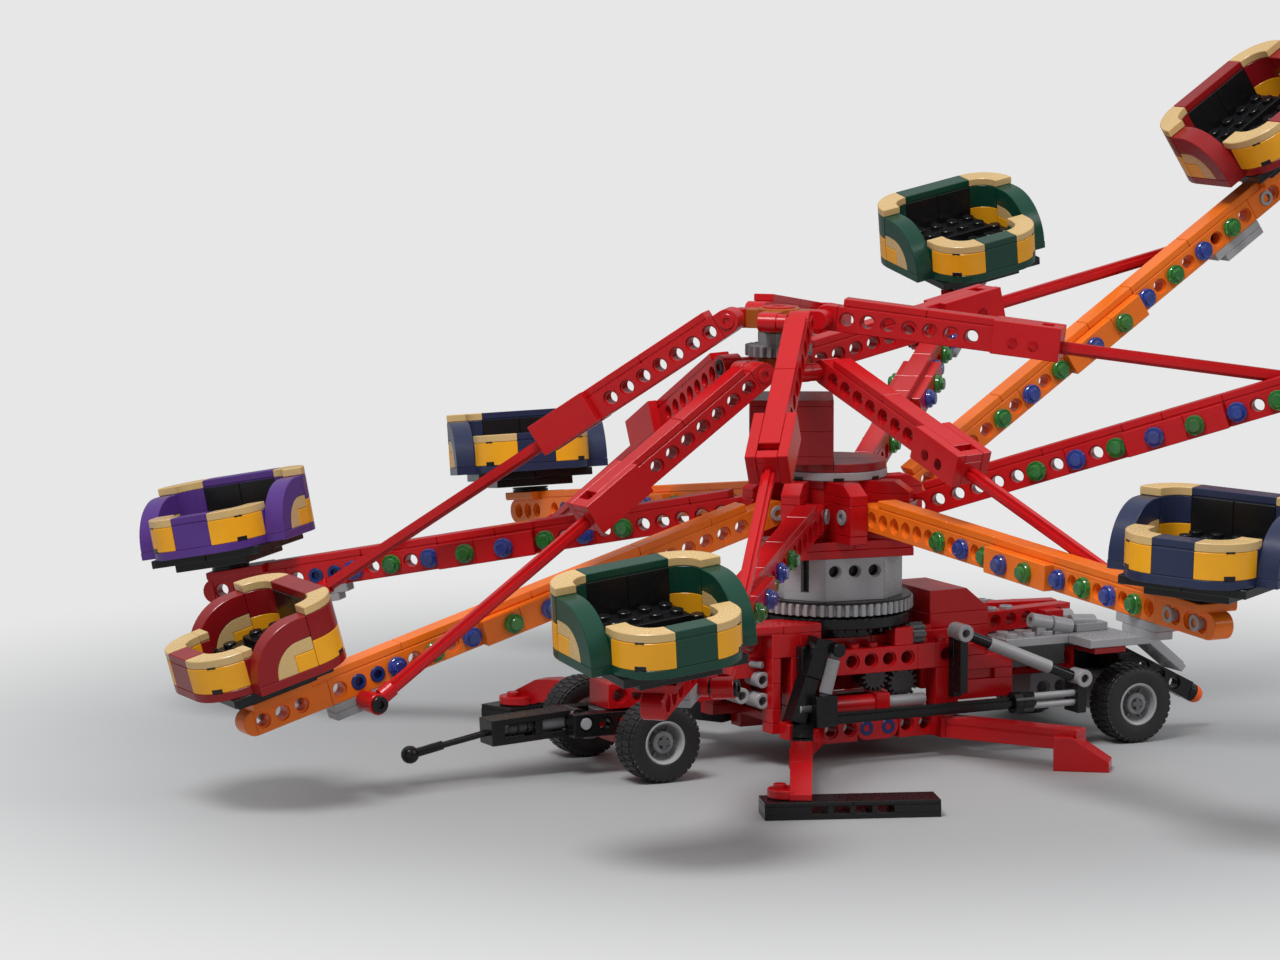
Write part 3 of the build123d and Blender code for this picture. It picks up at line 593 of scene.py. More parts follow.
def rounded_start(piece):
    """Rounded end of a beam about its first hole."""
    end = arc(0, 0, 4.8, 90, 270, 10) + [(3.9, -4.8), (3.9, 4.8)]
    piece.prism([(z, x) for x, z in end], "y", -HALF, HALF, 0.25)


def arm(index):
    colour = "orange" if index % 2 else "red"
    piece = Piece("ride_arm_%d" % (index + 1), colour, arm_place(index))
    rounded_start(piece)
    for x0, x1 in ((4, 68), (68, 92), (132, 196), (196, ARM_END - 4.75)):
        holes = [(STUD * k, 0) for k in range(1, 29) if x0 < STUD * k < x1 and k not in PLAIN]
        piece.holed(x0 + 0.05, x1 - 0.05, -HALF, HALF, BEAM_LOW, BEAM_HIGH, holes)
    # wide closed block
    piece.box(92.05, 131.95, -HALF, HALF, BEAM_LOW, BEAM_HIGH)
    for sign in (-1, 1):
        for x0, x1 in ((92.05, 116), (116.1, 131.95)):
            piece.box(x0, x1, sign * 4, sign * 7.95, BEAM_LOW, BEAM_HIGH)
    tail = arc(ARM_END - 4.8, 0, 4.8, -90, 90, 10)
    piece.prism([(z, x) for x, z in tail], "y", -HALF, HALF, 0.25)
    # smooth plates on top
    for x0, x1 in ((12, 28), (28, 60), (60, 92), (92, 108), (108, 132), (132, 164), (164, 204)):
        piece.tile(x0, x1, -4, 4, BEAM_HIGH)
    piece.tile(CAR_AT - 16, CAR_AT + 8, -8, 8, BEAM_HIGH)
    # carrier under the stay's pin
    piece.paint("light_grey")
    piece.bricks(-HALF, HALF, (STAY_AT - 12, STAY_AT + 12, -8, BEAM_LOW - 0.05),
                 (STAY_AT - 8, STAY_AT + 12, -11, -8.05))
    piece.paint("red")
    piece.rod((STAY_AT, 4, STAY_DROP), (STAY_AT, STAY_SIDE - 4.9, STAY_DROP), 3.4)
    piece.paint("black")
    piece.rod((STAY_AT, 4, STAY_DROP), (STAY_AT, STAY_SIDE + 4.2, STAY_DROP), 2.3)
    piece.tube((STAY_AT, STAY_SIDE + 4.05, STAY_DROP), (STAY_AT, STAY_SIDE + 5.4, STAY_DROP), 3.2, 1.6)
    # lamps on both sides, apart from the place of a blue pin
    for (k, tone), sign in product(LAMPS.items(), (-1, 1)):
        if k < 23 or sign < 0:
            face = 8 if 12 <= k <= 16 else 4
            piece.lamp(STUD * k, sign * face, 0, sign, tone + "_clear")
    for k in (22, 23):
        ring_pin(piece, STUD * k, 1, "pin_blue", 0.4)
    if index % 2:
        for k in (25.5, 27.5):
            ring_pin(piece, STUD * k, -1, "light_grey", 0.6)
    piece.finish("tower", "arm_%d" % (index + 1))


for number in range(ARM_COUNT):
    arm(number)

# Stays


def stay_place(index):
    """Frame of a stay, from its hub pin along its beam, and its length up to the pin in its arm."""
    spoke = heading(index).to_3x3()
    z = HUB_LOW_Z if index % 2 else HUB_HIGH_Z
    start = Vector((HUB_X, HUB_Y, z)) + spoke @ Vector((HUB_PIN_R, STAY_SIDE, 0))
    along = arm_place(index) @ Vector((STAY_AT, STAY_SIDE, STAY_DROP)) - start
    length = along.length
    along.normalize()
    normal = along.cross(spoke.col[1]).normalized()
    return axes(start, along, normal.cross(along), normal), length


def stays(name, indices, node):
    piece = Piece(name, "red")
    for index in indices:
        piece.at, length = stay_place(index)
        rounded_start(piece)
        piece.holed(4, 63.9, -HALF, HALF, BEAM_LOW, BEAM_HIGH, [(STUD * k, 0) for k in range(1, 8)])
        for x0, x1 in ((6, 38), (38, 82)):
            piece.tile(x0, x1, -4, 4, BEAM_HIGH)
        piece.bricks(-HALF, HALF, (64, 90, -4.2, 4.75), (86, 90, 4.8, TILE_HIGH - 0.2))
        for sign in (-1, 1):
            piece.box(64, 90, sign * 4.05, sign * 8, BEAM_LOW, TILE_HIGH)
        for x in (72, 80):
            profile = [(0, -0.5), (2.4, -0.5), (2.4, 0), (2.2, 0.1), (0, 0.1)]
            piece.lathe((x, -7.9, 0), (0, -1, 0), profile, 14)
        piece.axle((90, 0, 0), (length - 4, 0, 0), 2.35, 1)
        piece.tube((length, -4, 0), (length, 4, 0), 4, 2.35)
        piece.rod((length - 9, 0, 0), (length - 3.5, 0, 0), 3.2)
    piece.finish("tower", node)


stays("stay_rods_upper", range(0, ARM_COUNT, 2), "stays_upper")
stays("stay_rods_lower", range(1, ARM_COUNT, 2), "stays_lower")

# Turntable and tower

RING_Z0, DRUM_Z0, DRUM_Z1 = 55.2, 60.8, 77
FLANGE_Z1, BODY_Z1, DISC_Z1, MAST_Z1 = 83.4, 106, 112.4, 137
TOWER_TURN, MAST_TURN = 82, -28


def cog(piece, teeth, tip, root, z0, z1):
    """Toothed wheel about the z axis of the piece's present frame."""
    outline = []
    for k in range(teeth):
        for part, radius in ((-0.34, root), (-0.2, tip), (0.2, tip), (0.34, root)):
            angle = 2 * math.pi * (k + part) / teeth
            outline.append((radius * math.cos(angle), radius * math.sin(angle)))
    piece.prism(outline, "z", z0, z1, 0.12)


def turntable():
    """Black bearing on the chassis, toothed ring and square drum with cut corners."""
    bearing = Piece("turntable_bearing", "black")
    profile = [(0, 0), (21.7, 0), (22, 0.3), (22, 4), (29.9, 4), (30.5, 4.5), (30.5, 7.9), (30.2, 8.2),
               (0, 8.2)]
    bearing.lathe((0, 0, 46.4), UP, profile, 64)
    for k in range(40):
        bearing.at = turn_z(9 * k)
        bearing.box(28.2, 30.3, -0.6, 0.6, 49.2, 50.6, 0.1)
    bearing.finish("chassis", "turntable_base")

    ring = Piece("turntable_ring", "light_grey")
    cog(ring, 60, 31, 29, RING_Z0 + 0.4, 60)
    ring.paint("black")
    ring.lathe((0, 0, RING_Z0), UP, [(0, 0), (28.7, 0), (28.7, 0.45), (0, 0.45)], 60)
    ring.lathe((0, 0, 59.9), UP, [(0, 0), (30, 0), (30.3, 0.2), (30.3, 0.7), (30, 0.9), (0, 0.9)], 64)
    ring.finish("tower", "toothed_ring")

    turned = turn_z(TOWER_TURN)
    drum = Piece("turntable_drum", "black", turned)
    # Black core that shows only through the holes and slots, painted black as their shade
    corner = [(20, 12), (12, 20), (-12, 20), (-20, 12), (-20, -12), (-12, -20), (12, -20), (20, -12)]
    drum.prism(corner, "z", DRUM_Z0 + 0.1, DRUM_Z1 - 0.1, 0)
    drum.paint("light_grey")
    for k in range(4):
        drum.at = turned @ turn_z(90 * k)
        drum.holed(-11.98, 11.98, 20, 24, DRUM_Z0, DRUM_Z1, [(-8, 72), (0, 72), (8, 72)], 2.2, 2.6, 0.15)
        # corner brick, whole or with a slot above its foot
        drum.at = turned @ turn_z(90 * k + 45)
        whole = [(25.45, -8.48), (25.45, 8.48), (22.63, 5.66), (22.63, -5.66)]
        slotted = k % 2 == 1
        drum.prism(whole, "z", DRUM_Z0, DRUM_Z0 + 3 if slotted else DRUM_Z1, 0.1)
        for sign in (-1, 1) if slotted else ():
            half = [(25.45, sign * 1.7), (25.45, sign * 8.48), (22.63, sign * 5.66), (22.63, sign * 1.7)]
            drum.prism(half, "z", DRUM_Z0 + 3, DRUM_Z1, 0.1)
    drum.finish("tower", "ring_drum")


def tower():
    """Red brick tower with a bracket beside each arm, and its arm pins."""
    body = Piece("tower_bricks", "red", turn_z(TOWER_TURN))
    body.box(-24, 24, -24, 24, DRUM_Z1, DRUM_Z1 + 3.15)
    body.quarters(23.9, 23.9, DRUM_Z1 + 3.2, FLANGE_Z1)
    body.at = Matrix()
    core = arc(0, 0, 19.3, ARM_FIRST_AZ + 22.5, ARM_FIRST_AZ + 337.5, 7)
    for z0, z1 in ((FLANGE_Z1, 92.9), (93, 102.5), (102.6, BODY_Z1)):
        body.prism(core, "z", z0, z1, 0.25)
    # brackets, each with a brick face that closes the gap to the next one
    y0, y1 = -12, -4.45
    slope = [(101.05, 10), (101.05, 33), (102, 33), (BODY_Z1 - 0.1, 27.2), (BODY_Z1 - 0.1, 10)]
    for index in range(ARM_COUNT):
        body.at = heading(index)
        body.bricks(y0, y1, (10, 33, FLANGE_Z1, 86.55), (10, 33, 98.2, 101))
        body.holed(10, 33, y0, y1, 86.65, 98.1, [(ARM_PIVOT_R, ARM_PIVOT_Z)])
        body.prism(slope, "y", y0, y1)
        body.box(15, 19.4, 5, 8.6, FLANGE_Z1, BODY_Z1 - 4)
    body.finish("tower", "tower_body")

    pins = Piece("arm_pivots", "light_grey")
    profile = [(0, 1), (1.5, 1), (1.5, 0), (2.7, 0), (2.95, 0.2), (2.95, 0.75), (2.25, 0.75),
               (2.25, 17), (2.95, 17), (2.95, 17.6), (2.7, 17.8), (1.5, 17.8), (1.5, 16.6), (0, 16.6)]
    for index in range(ARM_COUNT):
        pins.at = heading(index)
        pins.lathe((ARM_PIVOT_R, -12.8, ARM_PIVOT_Z), (0, 1, 0), profile)
    pins.finish("tower", "pivot_pins")


def tower_top():
    """Notched plate, round top in quarters, and the mast that carries the hub's axle."""
    top = Piece("tower_top", "light_grey")
    top.lathe((0, 0, BODY_Z1), UP, [(0, 0), (20.5, 0), (20.8, 0.3), (20.8, 2.9), (20.5, 3.15), (0, 3.15)], 64)
    top.paint("black")
    for k in range(8):
        top.at = turn_z(45 * k + 22.5)
        top.box(18.5, 20.84, -2, 2, BODY_Z1 + 0.02, BODY_Z1 + 1.25, 0.05)
    top.paint("dark_red")
    quarter = [(0.08, 0.08)] + arc(0, 0, 20.6, 0.3, 89.7, 18)
    for k in range(4):
        top.at = turn_z(MAST_TURN + 90 * k)
        top.prism(quarter, "z", BODY_Z1 + 3.2, DISC_Z1, 0.25)
    top.finish("tower", "top_disc")

    mast = Piece("crank_mast", "dark_red", turn_z(MAST_TURN))
    x0, x1, y0, y1 = -31.95, -0.05, -21.95, 9.95
    along = ((x0, -16.05, y0, y1), (-15.95, x1, y0, y1))
    across = ((x0, x1, y0, -6.05), (x0, x1, -5.95, y1))
    for z0, z1, layer in ((DISC_Z1, 115.5, along), (115.55, 125.1, across), (125.15, 134.7, along),
                          (134.75, MAST_Z1, ((x0, x1, y0, y1),))):
        for brick in layer:
            mast.box(*brick, z0, z1, 0.15)
    mast.at = Matrix()
    mast.paint("dark_grey")
    mast.axle((HUB_X, HUB_Y, MAST_Z1), (HUB_X, HUB_Y, HUB_LOW_Z - 4.8), 2.4, 0.95)
    mast.finish("tower", "mast_block")


def hub():
    """Two-level hub on the crank pin: central blocks, a lug with a pin for each stay, and the gear."""
    place = move(HUB_X, HUB_Y, 0)
    # Central blocks and lugs are orange darkened as painted shade
    piece = Piece("crank_hub", "orange_painted_shade", place)
    piece.rod((0, 0, HUB_LOW_Z - 4.8), (0, 0, HUB_LOW_Z + 4.8), 8, 16, 0.4)
    piece.rod((0, 0, HUB_HIGH_Z - 4.8), (0, 0, HUB_HIGH_Z + 4.2), 8, 16, 0.4)
    piece.paint("mid_grey")
    cog(piece, 8, 8, 7.4, HUB_LOW_Z + 5, HUB_HIGH_Z - 5)
    piece.paint("red")
    cap = [(0, 0), (6.2, 0), (6.2, 0.4), (6, 0.6), (2.4, 0.6), (2.4, 0.1), (0, 0.1)]
    piece.lathe((0, 0, HUB_HIGH_Z + 4.2), UP, cap, 20)
    pin = [(0, 0), (2.3, 0), (2.3, 13.6), (3, 13.6), (3, 13.9), (2.7, 14.1), (1.5, 14.1), (1.5, 13),
           (0, 13)]
    for index in range(ARM_COUNT):
        z = HUB_LOW_Z if index % 2 else HUB_HIGH_Z
        piece.at = place @ heading(index)
        # Lug block in orange darkened as painted shade
        piece.paint("orange_painted_shade")
        piece.box(6, 12.2, -3.6, 3.6, z - 3.6, z + 3.6)
        piece.paint("red")
        end = arc(HUB_PIN_R, z, 3.6, -90, 90, 8) + [(12.3, z + 3.6), (12.3, z - 3.6)]
        piece.prism([(b, a) for a, b in end], "y", -3.6, 3.6)
        piece.tube((HUB_PIN_R, 3.6, z), (HUB_PIN_R, STAY_SIDE - 4.9, z), 3.4, 2.3)
        piece.paint("black" if index == 1 else "red")
        piece.lathe((HUB_PIN_R, 3, z), (0, 1, 0), pin)
    piece.finish("tower", "hub_spider")

    gear = Piece("crank_gear", "mid_grey", place)
    cog(gear, 24, 12.8, 10.4, 153.2, 157.2)
    gear.finish("tower", "hub_gear")


def car_plates():
    """Round plate between each arm and its car."""
    plates = Piece("car_turntables", "black")
    profile = [(0, 0), (7.2, 0), (7.5, 0.2), (7.5, 0.9), (6.9, 1), (6.9, 1.2), (7.5, 1.3), (7.5, 1.9),
               (7.3, 2), (0, 2)]
    for index in range(ARM_COUNT):
        plates.at = arm_place(index)
        plates.lathe((CAR_AT, 0, TILE_HIGH), UP, profile, 32)
    plates.finish("tower", "car_bearings")


turntable()
tower()
tower_top()
hub()
car_plates()

# Trailer

MIRROR = {1: Matrix(), -1: Matrix.Diagonal((1, -1, 1, 1))}
# Inner and outer face of the side frame, and the height and places of the wheel axles
SIDE_IN, SIDE_OUT = 20, 28
AXLE_Z, REAR_X, FRONT_X = 15.2, 111, -91


def side_bricks(piece):
    """Left side of the red frame: holed bricks, slotted corner post, lower beam with its link, guard."""
    piece.paint("red")
    piece.holed(-52, -20.05, 12.05, SIDE_IN, 41.25, 50.75, [(-46, 46), (-38, 46), (-30, 46)])
    rim = arc(0, 0, 31.8, 157.8, 129.2, 6)
    piece.prism([(-36.05, 12.05)] + rim + [(-20.1, 28), (-36.05, 28)], "z", 50.8, 54)
    piece.tile(-52, -36.1, 12, 28, 50.8)
    # corner post with its slot, inner post and blocks
    piece.bricks(SIDE_IN, SIDE_OUT, *((x, x + 3.7, z0, z1) for x in (-41, -32.7)
                                      for z0, z1 in ((17, 22.55), (22.6, 32.15), (32.2, 41.75))))
    piece.bricks(SIDE_IN, SIDE_OUT, (-41, -29, 13, 16.95), (-41, -29, 41.8, 50.75),
                 (-29, -20.05, 33.25, 50.75), (22.05, 29.95, 33.2, 42.8), (30, 40, 17.65, 33.15),
                 (12, 20, 42.85, 49.6), (4.05, 10, 17.05, 25))
    # side rail, and lower beam with its smooth link
    for x0, x1, z, places in ((-20, 22, 38, (-6.4, 1.6, 9.6, 17.6)), (30, 40, 38, (35,)),
                              (-29, -4.05, 12.2, (-15.5, -7.5)), (14.05, 34, 12.2, (17.5, 25.5))):
        piece.holed(x0, x1, SIDE_IN, SIDE_OUT, z - 4.8, z + 4.8, [(x, z) for x in places])
    end = arc(-0.2, 12.2, 4.7, 90, 270, 8) + arc(9.2, 12.2, 4.7, -90, 90, 8)
    piece.prism([(b, a) for a, b in end], "y", 20.2, 28, 0.3)
    for x in (-4, 4, 26, 34):
        piece.stud(x, 24, 42.8)
    # red cylinder above the beam, its rod and the pins of the link
    piece.tube((-29, 24, 21), (-13.1, 24, 21), 3.8, 2.4)
    piece.tube((-12.9, 24, 21), (4, 24, 21), 3.7, 2.4)
    piece.paint("light_grey")
    piece.rod((10, 24, 21), (27, 24, 21), 2.3)
    piece.paint("pin_blue")
    for x in (-0.2, 9.2):
        pin = [(0, 0), (2.9, 0), (2.9, 1.6), (2.7, 1.8), (1.4, 1.8), (1.4, 0.8), (0, 0.8)]
        piece.lathe((x, 26.5, 12.2), (0, 1, 0), pin)
    piece.paint("dark_grey")
    with piece.placed(sideways((20.2, 24, 46.6))):
        cog(piece, 8, 4.2, 3, 0, 5.6)
    # guard behind the inner post
    piece.paint("red")
    piece.bricks(18, SIDE_OUT, (40.05, 64, 20, 27.2), (40.05, 44, 27.2, 31.2), (56, 64, 27.2, 31.2),
                 (40.05, 64, 31.2, 36.8), (40.05, 52, 36.85, 41.6))
    piece.box(44, 56, 18, 26, 27.2, 31.2)
    # grey tube ends left of the corner post
    piece.paint("light_grey")
    for x, z in ((-51.6, 27.8), (-42.8, 25.2), (-42.8, 33.2)):
        piece.tube((x, 14, z), (x, 24, z), 3.1, 1.8)
    piece.rod((-50, 12, 39), (-43, 24, 39), 1.3)


def chassis():
    """Red frame of the trailer."""
    piece = Piece("trailer_frame", "red")
    for sign in (-1, 1):
        piece.at = MIRROR[sign]
        side_bricks(piece)
    piece.at = Matrix()
    piece.paint("red")
    for x in range(-100, 71, 34):
        piece.holed(x + 0.05, x + 33.95, -8, 8, 24, 33.6, [(x + 5 + 8 * n, 28.8) for n in range(4)])
    piece.bricks(-20, 20, (-29, 2.45, 12.8, 16), (2.5, 34, 12.8, 16), (-28, 5.95, 41.6, 46.4),
                 (6, 40, 41.6, 46.4))
    for y0, y1 in ((-20, -8.05), (-8, 8), (8.05, 20)):
        piece.bricks(y0, y1, (-52, -28, 33.65, 41.2), (28, 40, 24, 41.55))
    # studs of the deck outside the turntable
    for x, y in product(range(-24, 33, 8), range(-16, 17, 8)):
        if math.hypot(x, y) > 24.5:
            piece.stud(x, y, 46.4)
    piece.finish("chassis", "chassis_frame")


def rear_box():
    """Sloping box with the folded rest behind it."""
    piece = Piece("rear_bricks", "red")
    for y0, y1 in ((-16, -8.03), (-7.97, 7.97), (8.03, 16)):
        piece.box(34.05, 60, y0, y1, 46.45, 51.95)
        piece.prism([(52, 34.05), (52, 60), (53, 60), (60.95, 50.4), (60.95, 34.05)], "y", y0, y1)
    piece.bricks(-16, 16, (40.1, 60, 41.65, 46.4), (86, 94, 42.05, 49.6))
    knob = [(0, -0.2), (2.6, -0.2), (2.6, 0.9), (2.3, 1.2), (1.3, 1.2), (1.3, 0.3), (0, 0.3)]
    for sign in (-1, 1):
        piece.at = move(58, sign * 12, 46.8) @ turn_z(sign * -10.3)
        piece.paint("red")
        piece.holed(0, 44.6, -3.2, 3.2, -4, 3.9, [(8 * k - 2, 0) for k in range(1, 6)], 2.2, 2.7)
        piece.paint("light_grey")
        for x in (6, 14):
            piece.lathe((x, 0, 3.9), UP, knob)
        piece.at = Matrix()
        piece.tube((94.1, sign * 12, 46), (99.5, sign * 12, 46), 3.2, 1.6)
    piece.paint("black")
    piece.tube((47, -12.5, 58), (47, 12.5, 58), 2.9, 1.5)
    piece.rod((51, -4, 57.5), (57, -4, 53.6), 2.6)
    piece.box(44, 50, -3.5, 3.5, 55.6, 60.8)
    piece.finish("chassis", "rear_box")


def rear_deck():
    """Grey deck with its sloping mudguards and the tubes of the folded rest."""
    deck = Piece("rear_deck_plates", "light_grey")
    top = [(38.85, 88.05), (42, 88.05), (42, 116), (29, 131.5), (26.8, 129.6), (38.85, 114.7)]
    for sign in (-1, 1):
        deck.at = MIRROR[sign]
        deck.paint("light_grey")
        deck.box(60, 87.95, 0.03, 30, 38.8, 42)
        deck.box(88, 112, 0.03, 30.9, 38.8, 42)
        for x, y in product((64, 72, 80), (20, 26.5)):
            deck.stud(x, y, 42)
        deck.prism(top, "y", 31, 46, 0.25)
        for y in (33.5, 38.5, 43.5):
            with deck.placed(pitched((116.8, y, 41.7), 15.5, -13)):
                deck.box(0, 18, -1.9, 1.9, -0.9, 0.35, 0.05)
        deck.tube((74, 24, 48), (83, 24, 46), 2.9, 1.4)
        deck.tube((83.4, 24, 45.9), (92, 24, 44), 3.3, 2)
        deck.axle((84, 24, 45.8), (91.4, 24, 44.2), 2.2, 0.8)
        deck.box(94, 108, 18, 26, 42.05, 45.2)
        deck.tube((93, 22, 46), (104, 22, 45.2), 2.7, 1.5)
        deck.bricks(21.8, 26.2, (76, 80, 42, 45.2), (84, 88, 42, 45.2))
        deck.paint("dark_red")
        deck.box(90, 104, 31.2, 45.8, 36.4, 38.8)
        deck.paint("mid_grey")
        deck.box(66, 94, 14, 17, 28.6, 38.75)
    deck.at = Matrix()
    deck.paint("dark_grey")
    deck.box(60.05, 104, -8, 8, 33.65, 38.75)
    deck.finish("chassis", "rear_deck")


def tail():
    """Tail arms with their lamps, and the rear axle in its bricks."""
    arms = Piece("tail_arms", "black")
    arms.box(104.05, 118, -8, 8, 24, 33.6)
    arms.box(112, 118, -28, 28, 25, 32.6)
    lamps = Piece("tail_lamp_caps", "tail_lamp")
    length = math.hypot(35, 18)
    cap = [(0, 0), (3.6, 0), (3.6, 0.9), (3.3, 2.2), (2.5, 3.4), (1.3, 4.1), (0, 4.3)]
    for sign in (-1, 1):
        arms.at = lamps.at = pitched((113, sign * 24.6, 32), 35, -18)
        arms.holed(0, length - 3.2, -3.2, 3.2, -3.6, 3.6, [(8 * k + 4, 0) for k in range(1, 4)], 2.2, 2.7)
        arms.lathe((length - 3.2, 0, 0), (1, 0, 0), [(0, 0), (3.6, 0), (3.6, 3), (3.4, 3.2), (0, 3.2)], 20)
        lamps.lathe((length, 0, 0), (1, 0, 0), cap, 24)
    arms.finish("chassis", "rear_bumper")
    lamps.finish("chassis", "tail_lamps")

    axle = Piece("rear_axle_bricks", "light_grey")
    axle.holed(84.05, 103.95, -8, 8, 12, 23.9, [(90, 18), (98, 18)])
    for y0, y1 in ((-28, -10.05), (-10, 10), (10.05, 28)):
        axle.box(104, 118, y0, y1, 10.4, 23.95)
    axle.paint("dark_grey")
    axle.axle((REAR_X, -42.8, AXLE_Z), (REAR_X, 42.8, AXLE_Z), 2.35, 0.95)
    axle.finish("chassis", "rear_axle")


def legs():
    """Front and rear legs and their pads."""
    front = Piece("front_legs", "black")
    reach = math.hypot(46.5, 83.5)
    slope = [(8, 62.05), (17.5, 62.05), (17.5, reach - 16), (16.6, reach - 9), (8.7, reach + 6),
             (6.7, reach + 6), (6.7, reach - 8), (8, reach - 12)]
    for sign in (-1, 1):
        front.at = MIRROR[sign] @ move(-30, 32, 0) @ turn_z(math.degrees(math.atan2(83.5, -46.5)))
        front.paint("black")
        front.box(-2, 38, -4, 4, 8, 17.6)
        front.lathe((38, 0, 8), UP, [(0, 0), (3.9, 0), (4, 0.2), (4, 9.4), (3.9, 9.6), (0, 9.6)])
        front.paint("red")
        front.holed(42.05, 62, -4, 4, 8, 17.5, [(49, 12.8), (57, 12.8)])
        front.box(42.1, 62, -3.9, 3.9, 17.5, 17.6, 0)
        front.prism(slope, "y", -4, 4)
        front.rod((reach - 1, 5.6, 6.7), (reach - 1, 5.6, 9.9), 6.6, 24, 0.3)
        front.stud(reach - 1, 7.6, 9.9)
        front.at = MIRROR[sign]
        front.box(-38, -29, 28.05, 36, 11.5, 17.6)
        along = Vector((-34, 43, 0))
        with front.placed(frame_to((-22, 30, 12.2), along)):
            front.box(-2, 2, -3.9, 3.9, 0.5, along.length, 0.2)
    front.finish("chassis", "outriggers_front")

    back = Piece("rear_legs", "red")
    span = math.hypot(29, 48)
    wedge = [(0, -10), (0, 11), (3.9, 11), (12.9, -3), (12.9, -10)]
    for sign in (-1, 1):
        back.at = MIRROR[sign] @ move(33, 34, 11.4) @ turn_z(math.degrees(math.atan2(48, 29)))
        back.tile(0, span, -4, 4, 0.8)
        back.box(0.1, span, -HALF, HALF, -4, 0.75)
        back.at = MIRROR[sign] @ move(62, 82, 0) @ turn_z(37)
        back.prism(wedge, "y", -6, -0.03)
        back.prism(wedge, "y", 0.03, 6)
        back.at = MIRROR[sign]
        back.box(28, 37, 28.05, 36, 7.4, 15.4)
    back.finish("chassis", "outriggers_rear")

    pads = Piece("ground_pads", "black")
    for sign in (-1, 1):
        pads.at = MIRROR[sign] @ move(-60, 122, 0) @ turn_z(20)
        pads.box(-32, 32, -8, 8, 0, 2, 0.15)
        for x0, x1 in ((-32, -15), (15, 32), (-9, -7), (-1, 1), (7, 9)):
            pads.box(x0, x1, -8, 8, 2, 4.8, 0.02)
        for x0, x1 in ((-32, -0.03), (0.03, 32)):
            pads.box(x0, x1, -8, 8, 4.8, 6.4, 0.2)
    pads.finish("chassis", "outrigger_pads")


def jacks():
    """Jacks and drive rods that fold the legs, and the gears between them."""
    piece = Piece("leg_jacks", "black")
    for sign in (-1, 1):
        # leaning post of the front leg with its links
        piece.at = MIRROR[sign]
        piece.paint("black")
        with piece.placed(pitched((-23, 33, 49), 31.4, -11.5)):
            piece.box(-3.4, 3.4, -3.9, 3.9, -15, 0)
            piece.box(-3.1, 3.1, -3.6, 3.6, -33, -15.1)
        piece.box(-31, -22, 28.05, 33, 36, 46)
        piece.box(-29, -20, 32, 41, 16.4, 28)
        piece.tube((-29, 34, 45.5), (-19, 34, 45.5), 3, 1.8)
        piece.rod((-18.4, 34.4, 45), (-18.4, 39.6, 45), 2.7)
        piece.paint("dark_grey")
        piece.rod((-33, 35, 23.2), (-22, 35, 23.2), 2.1)
        piece.rod((-18.8, 37, 44.3), (-19.7, 37, 41.4), 2)
        piece.rod((-23.3, 37, 28.6), (-24.1, 37, 25.8), 2)
        piece.paint("light_grey")
        piece.tube((-33.8, 35, 23.2), (-33.05, 35, 23.2), 2.2, 1.2)
        piece.rod((-19.7, 37, 41.4), (-23.3, 37, 28.6), 2.6, 16)
        # drive rod along the side, with its joint and the two grey rods
        for z in (17, 20.6):
            piece.rod((66.5, 37, z), (88, 37, z), 1.3)
        piece.paint("black")
        piece.axle((-24, 37, 18.8), (60, 37, 18.8), 2.2, 0.95)
        piece.tube((58, 37, 18.8), (62, 37, 18.8), 4.2, 2.4)
        with piece.placed(sideways((62, 37, 18.8))):
            cog(piece, 6, 4.2, 3.2, 0, 5)
        piece.box(86, 90, 30, 40, 13, 28)
        # jack of the rear leg, from its post to its end piece
        piece.box(35.3, 39.3, 28.05, 31.9, 22, 45)
        piece.box(35.6, 39, 32, 36.8, 24, 44)
        start, along = Vector((38, 33, 47)), Vector((50, 4, -21)).normalized()
        piece.rod(start + along * 2.5, start + along * 13, 2.1)
        piece.rod(start + along * 41, start + along * 51.5, 2.1)
        piece.paint("light_grey")
        piece.rod(start + along * 13, start + along * 41, 2.6, 16)
        piece.tube((38, 28, 47), (38, 37, 47), 3.4, 1.7, 20)
        piece.tube((88.5, 33, 26.5), (88.5, 41.4, 26.5), 3.4, 1.7, 20)
    piece.finish("chassis", "leg_actuators")

    gears = Piece("drive_gear_train", "dark_grey")
    for sign in (-1, 1):
        for x, z, radius in ((8.5, 30, 5.8), (20.5, 27, 6.4)):
            gears.at = MIRROR[sign] @ axes((x, 15, z), (0, 0, 1), (1, 0, 0), (0, 1, 0))
            cog(gears, 16, radius, radius - 1.5, 0, 4)
            gears.lathe((0, 0, -7), UP, [(0, 0), (2.4, 0), (2.4, 9.3), (2.2, 9.5), (0, 9.5)])
    gears.finish("chassis", "drive_gears")


# Profiles of a wheel: (radius, distance along its axle)
TYRE_SIDE = [(8.3, 6.4), (10.2, 6.9), (12.6, 6.8), (14.1, 6.2), (14.8, 4.6)]
TYRE = [(r, -d) for r, d in TYRE_SIDE] + TYRE_SIDE[::-1]
RIM = [(6.9, -6), (8.3, -6), (8.3, 6.3), (7.9, 6.6), (7.2, 6.2), (6.9, 4.6)]
RIM_DISC = [(2.42, -5.8), (6.95, -5.8), (6.95, 3.4), (5.6, 2), (4.4, 1.8), (4.2, 4.6), (3.8, 5),
            (2.42, 5)]


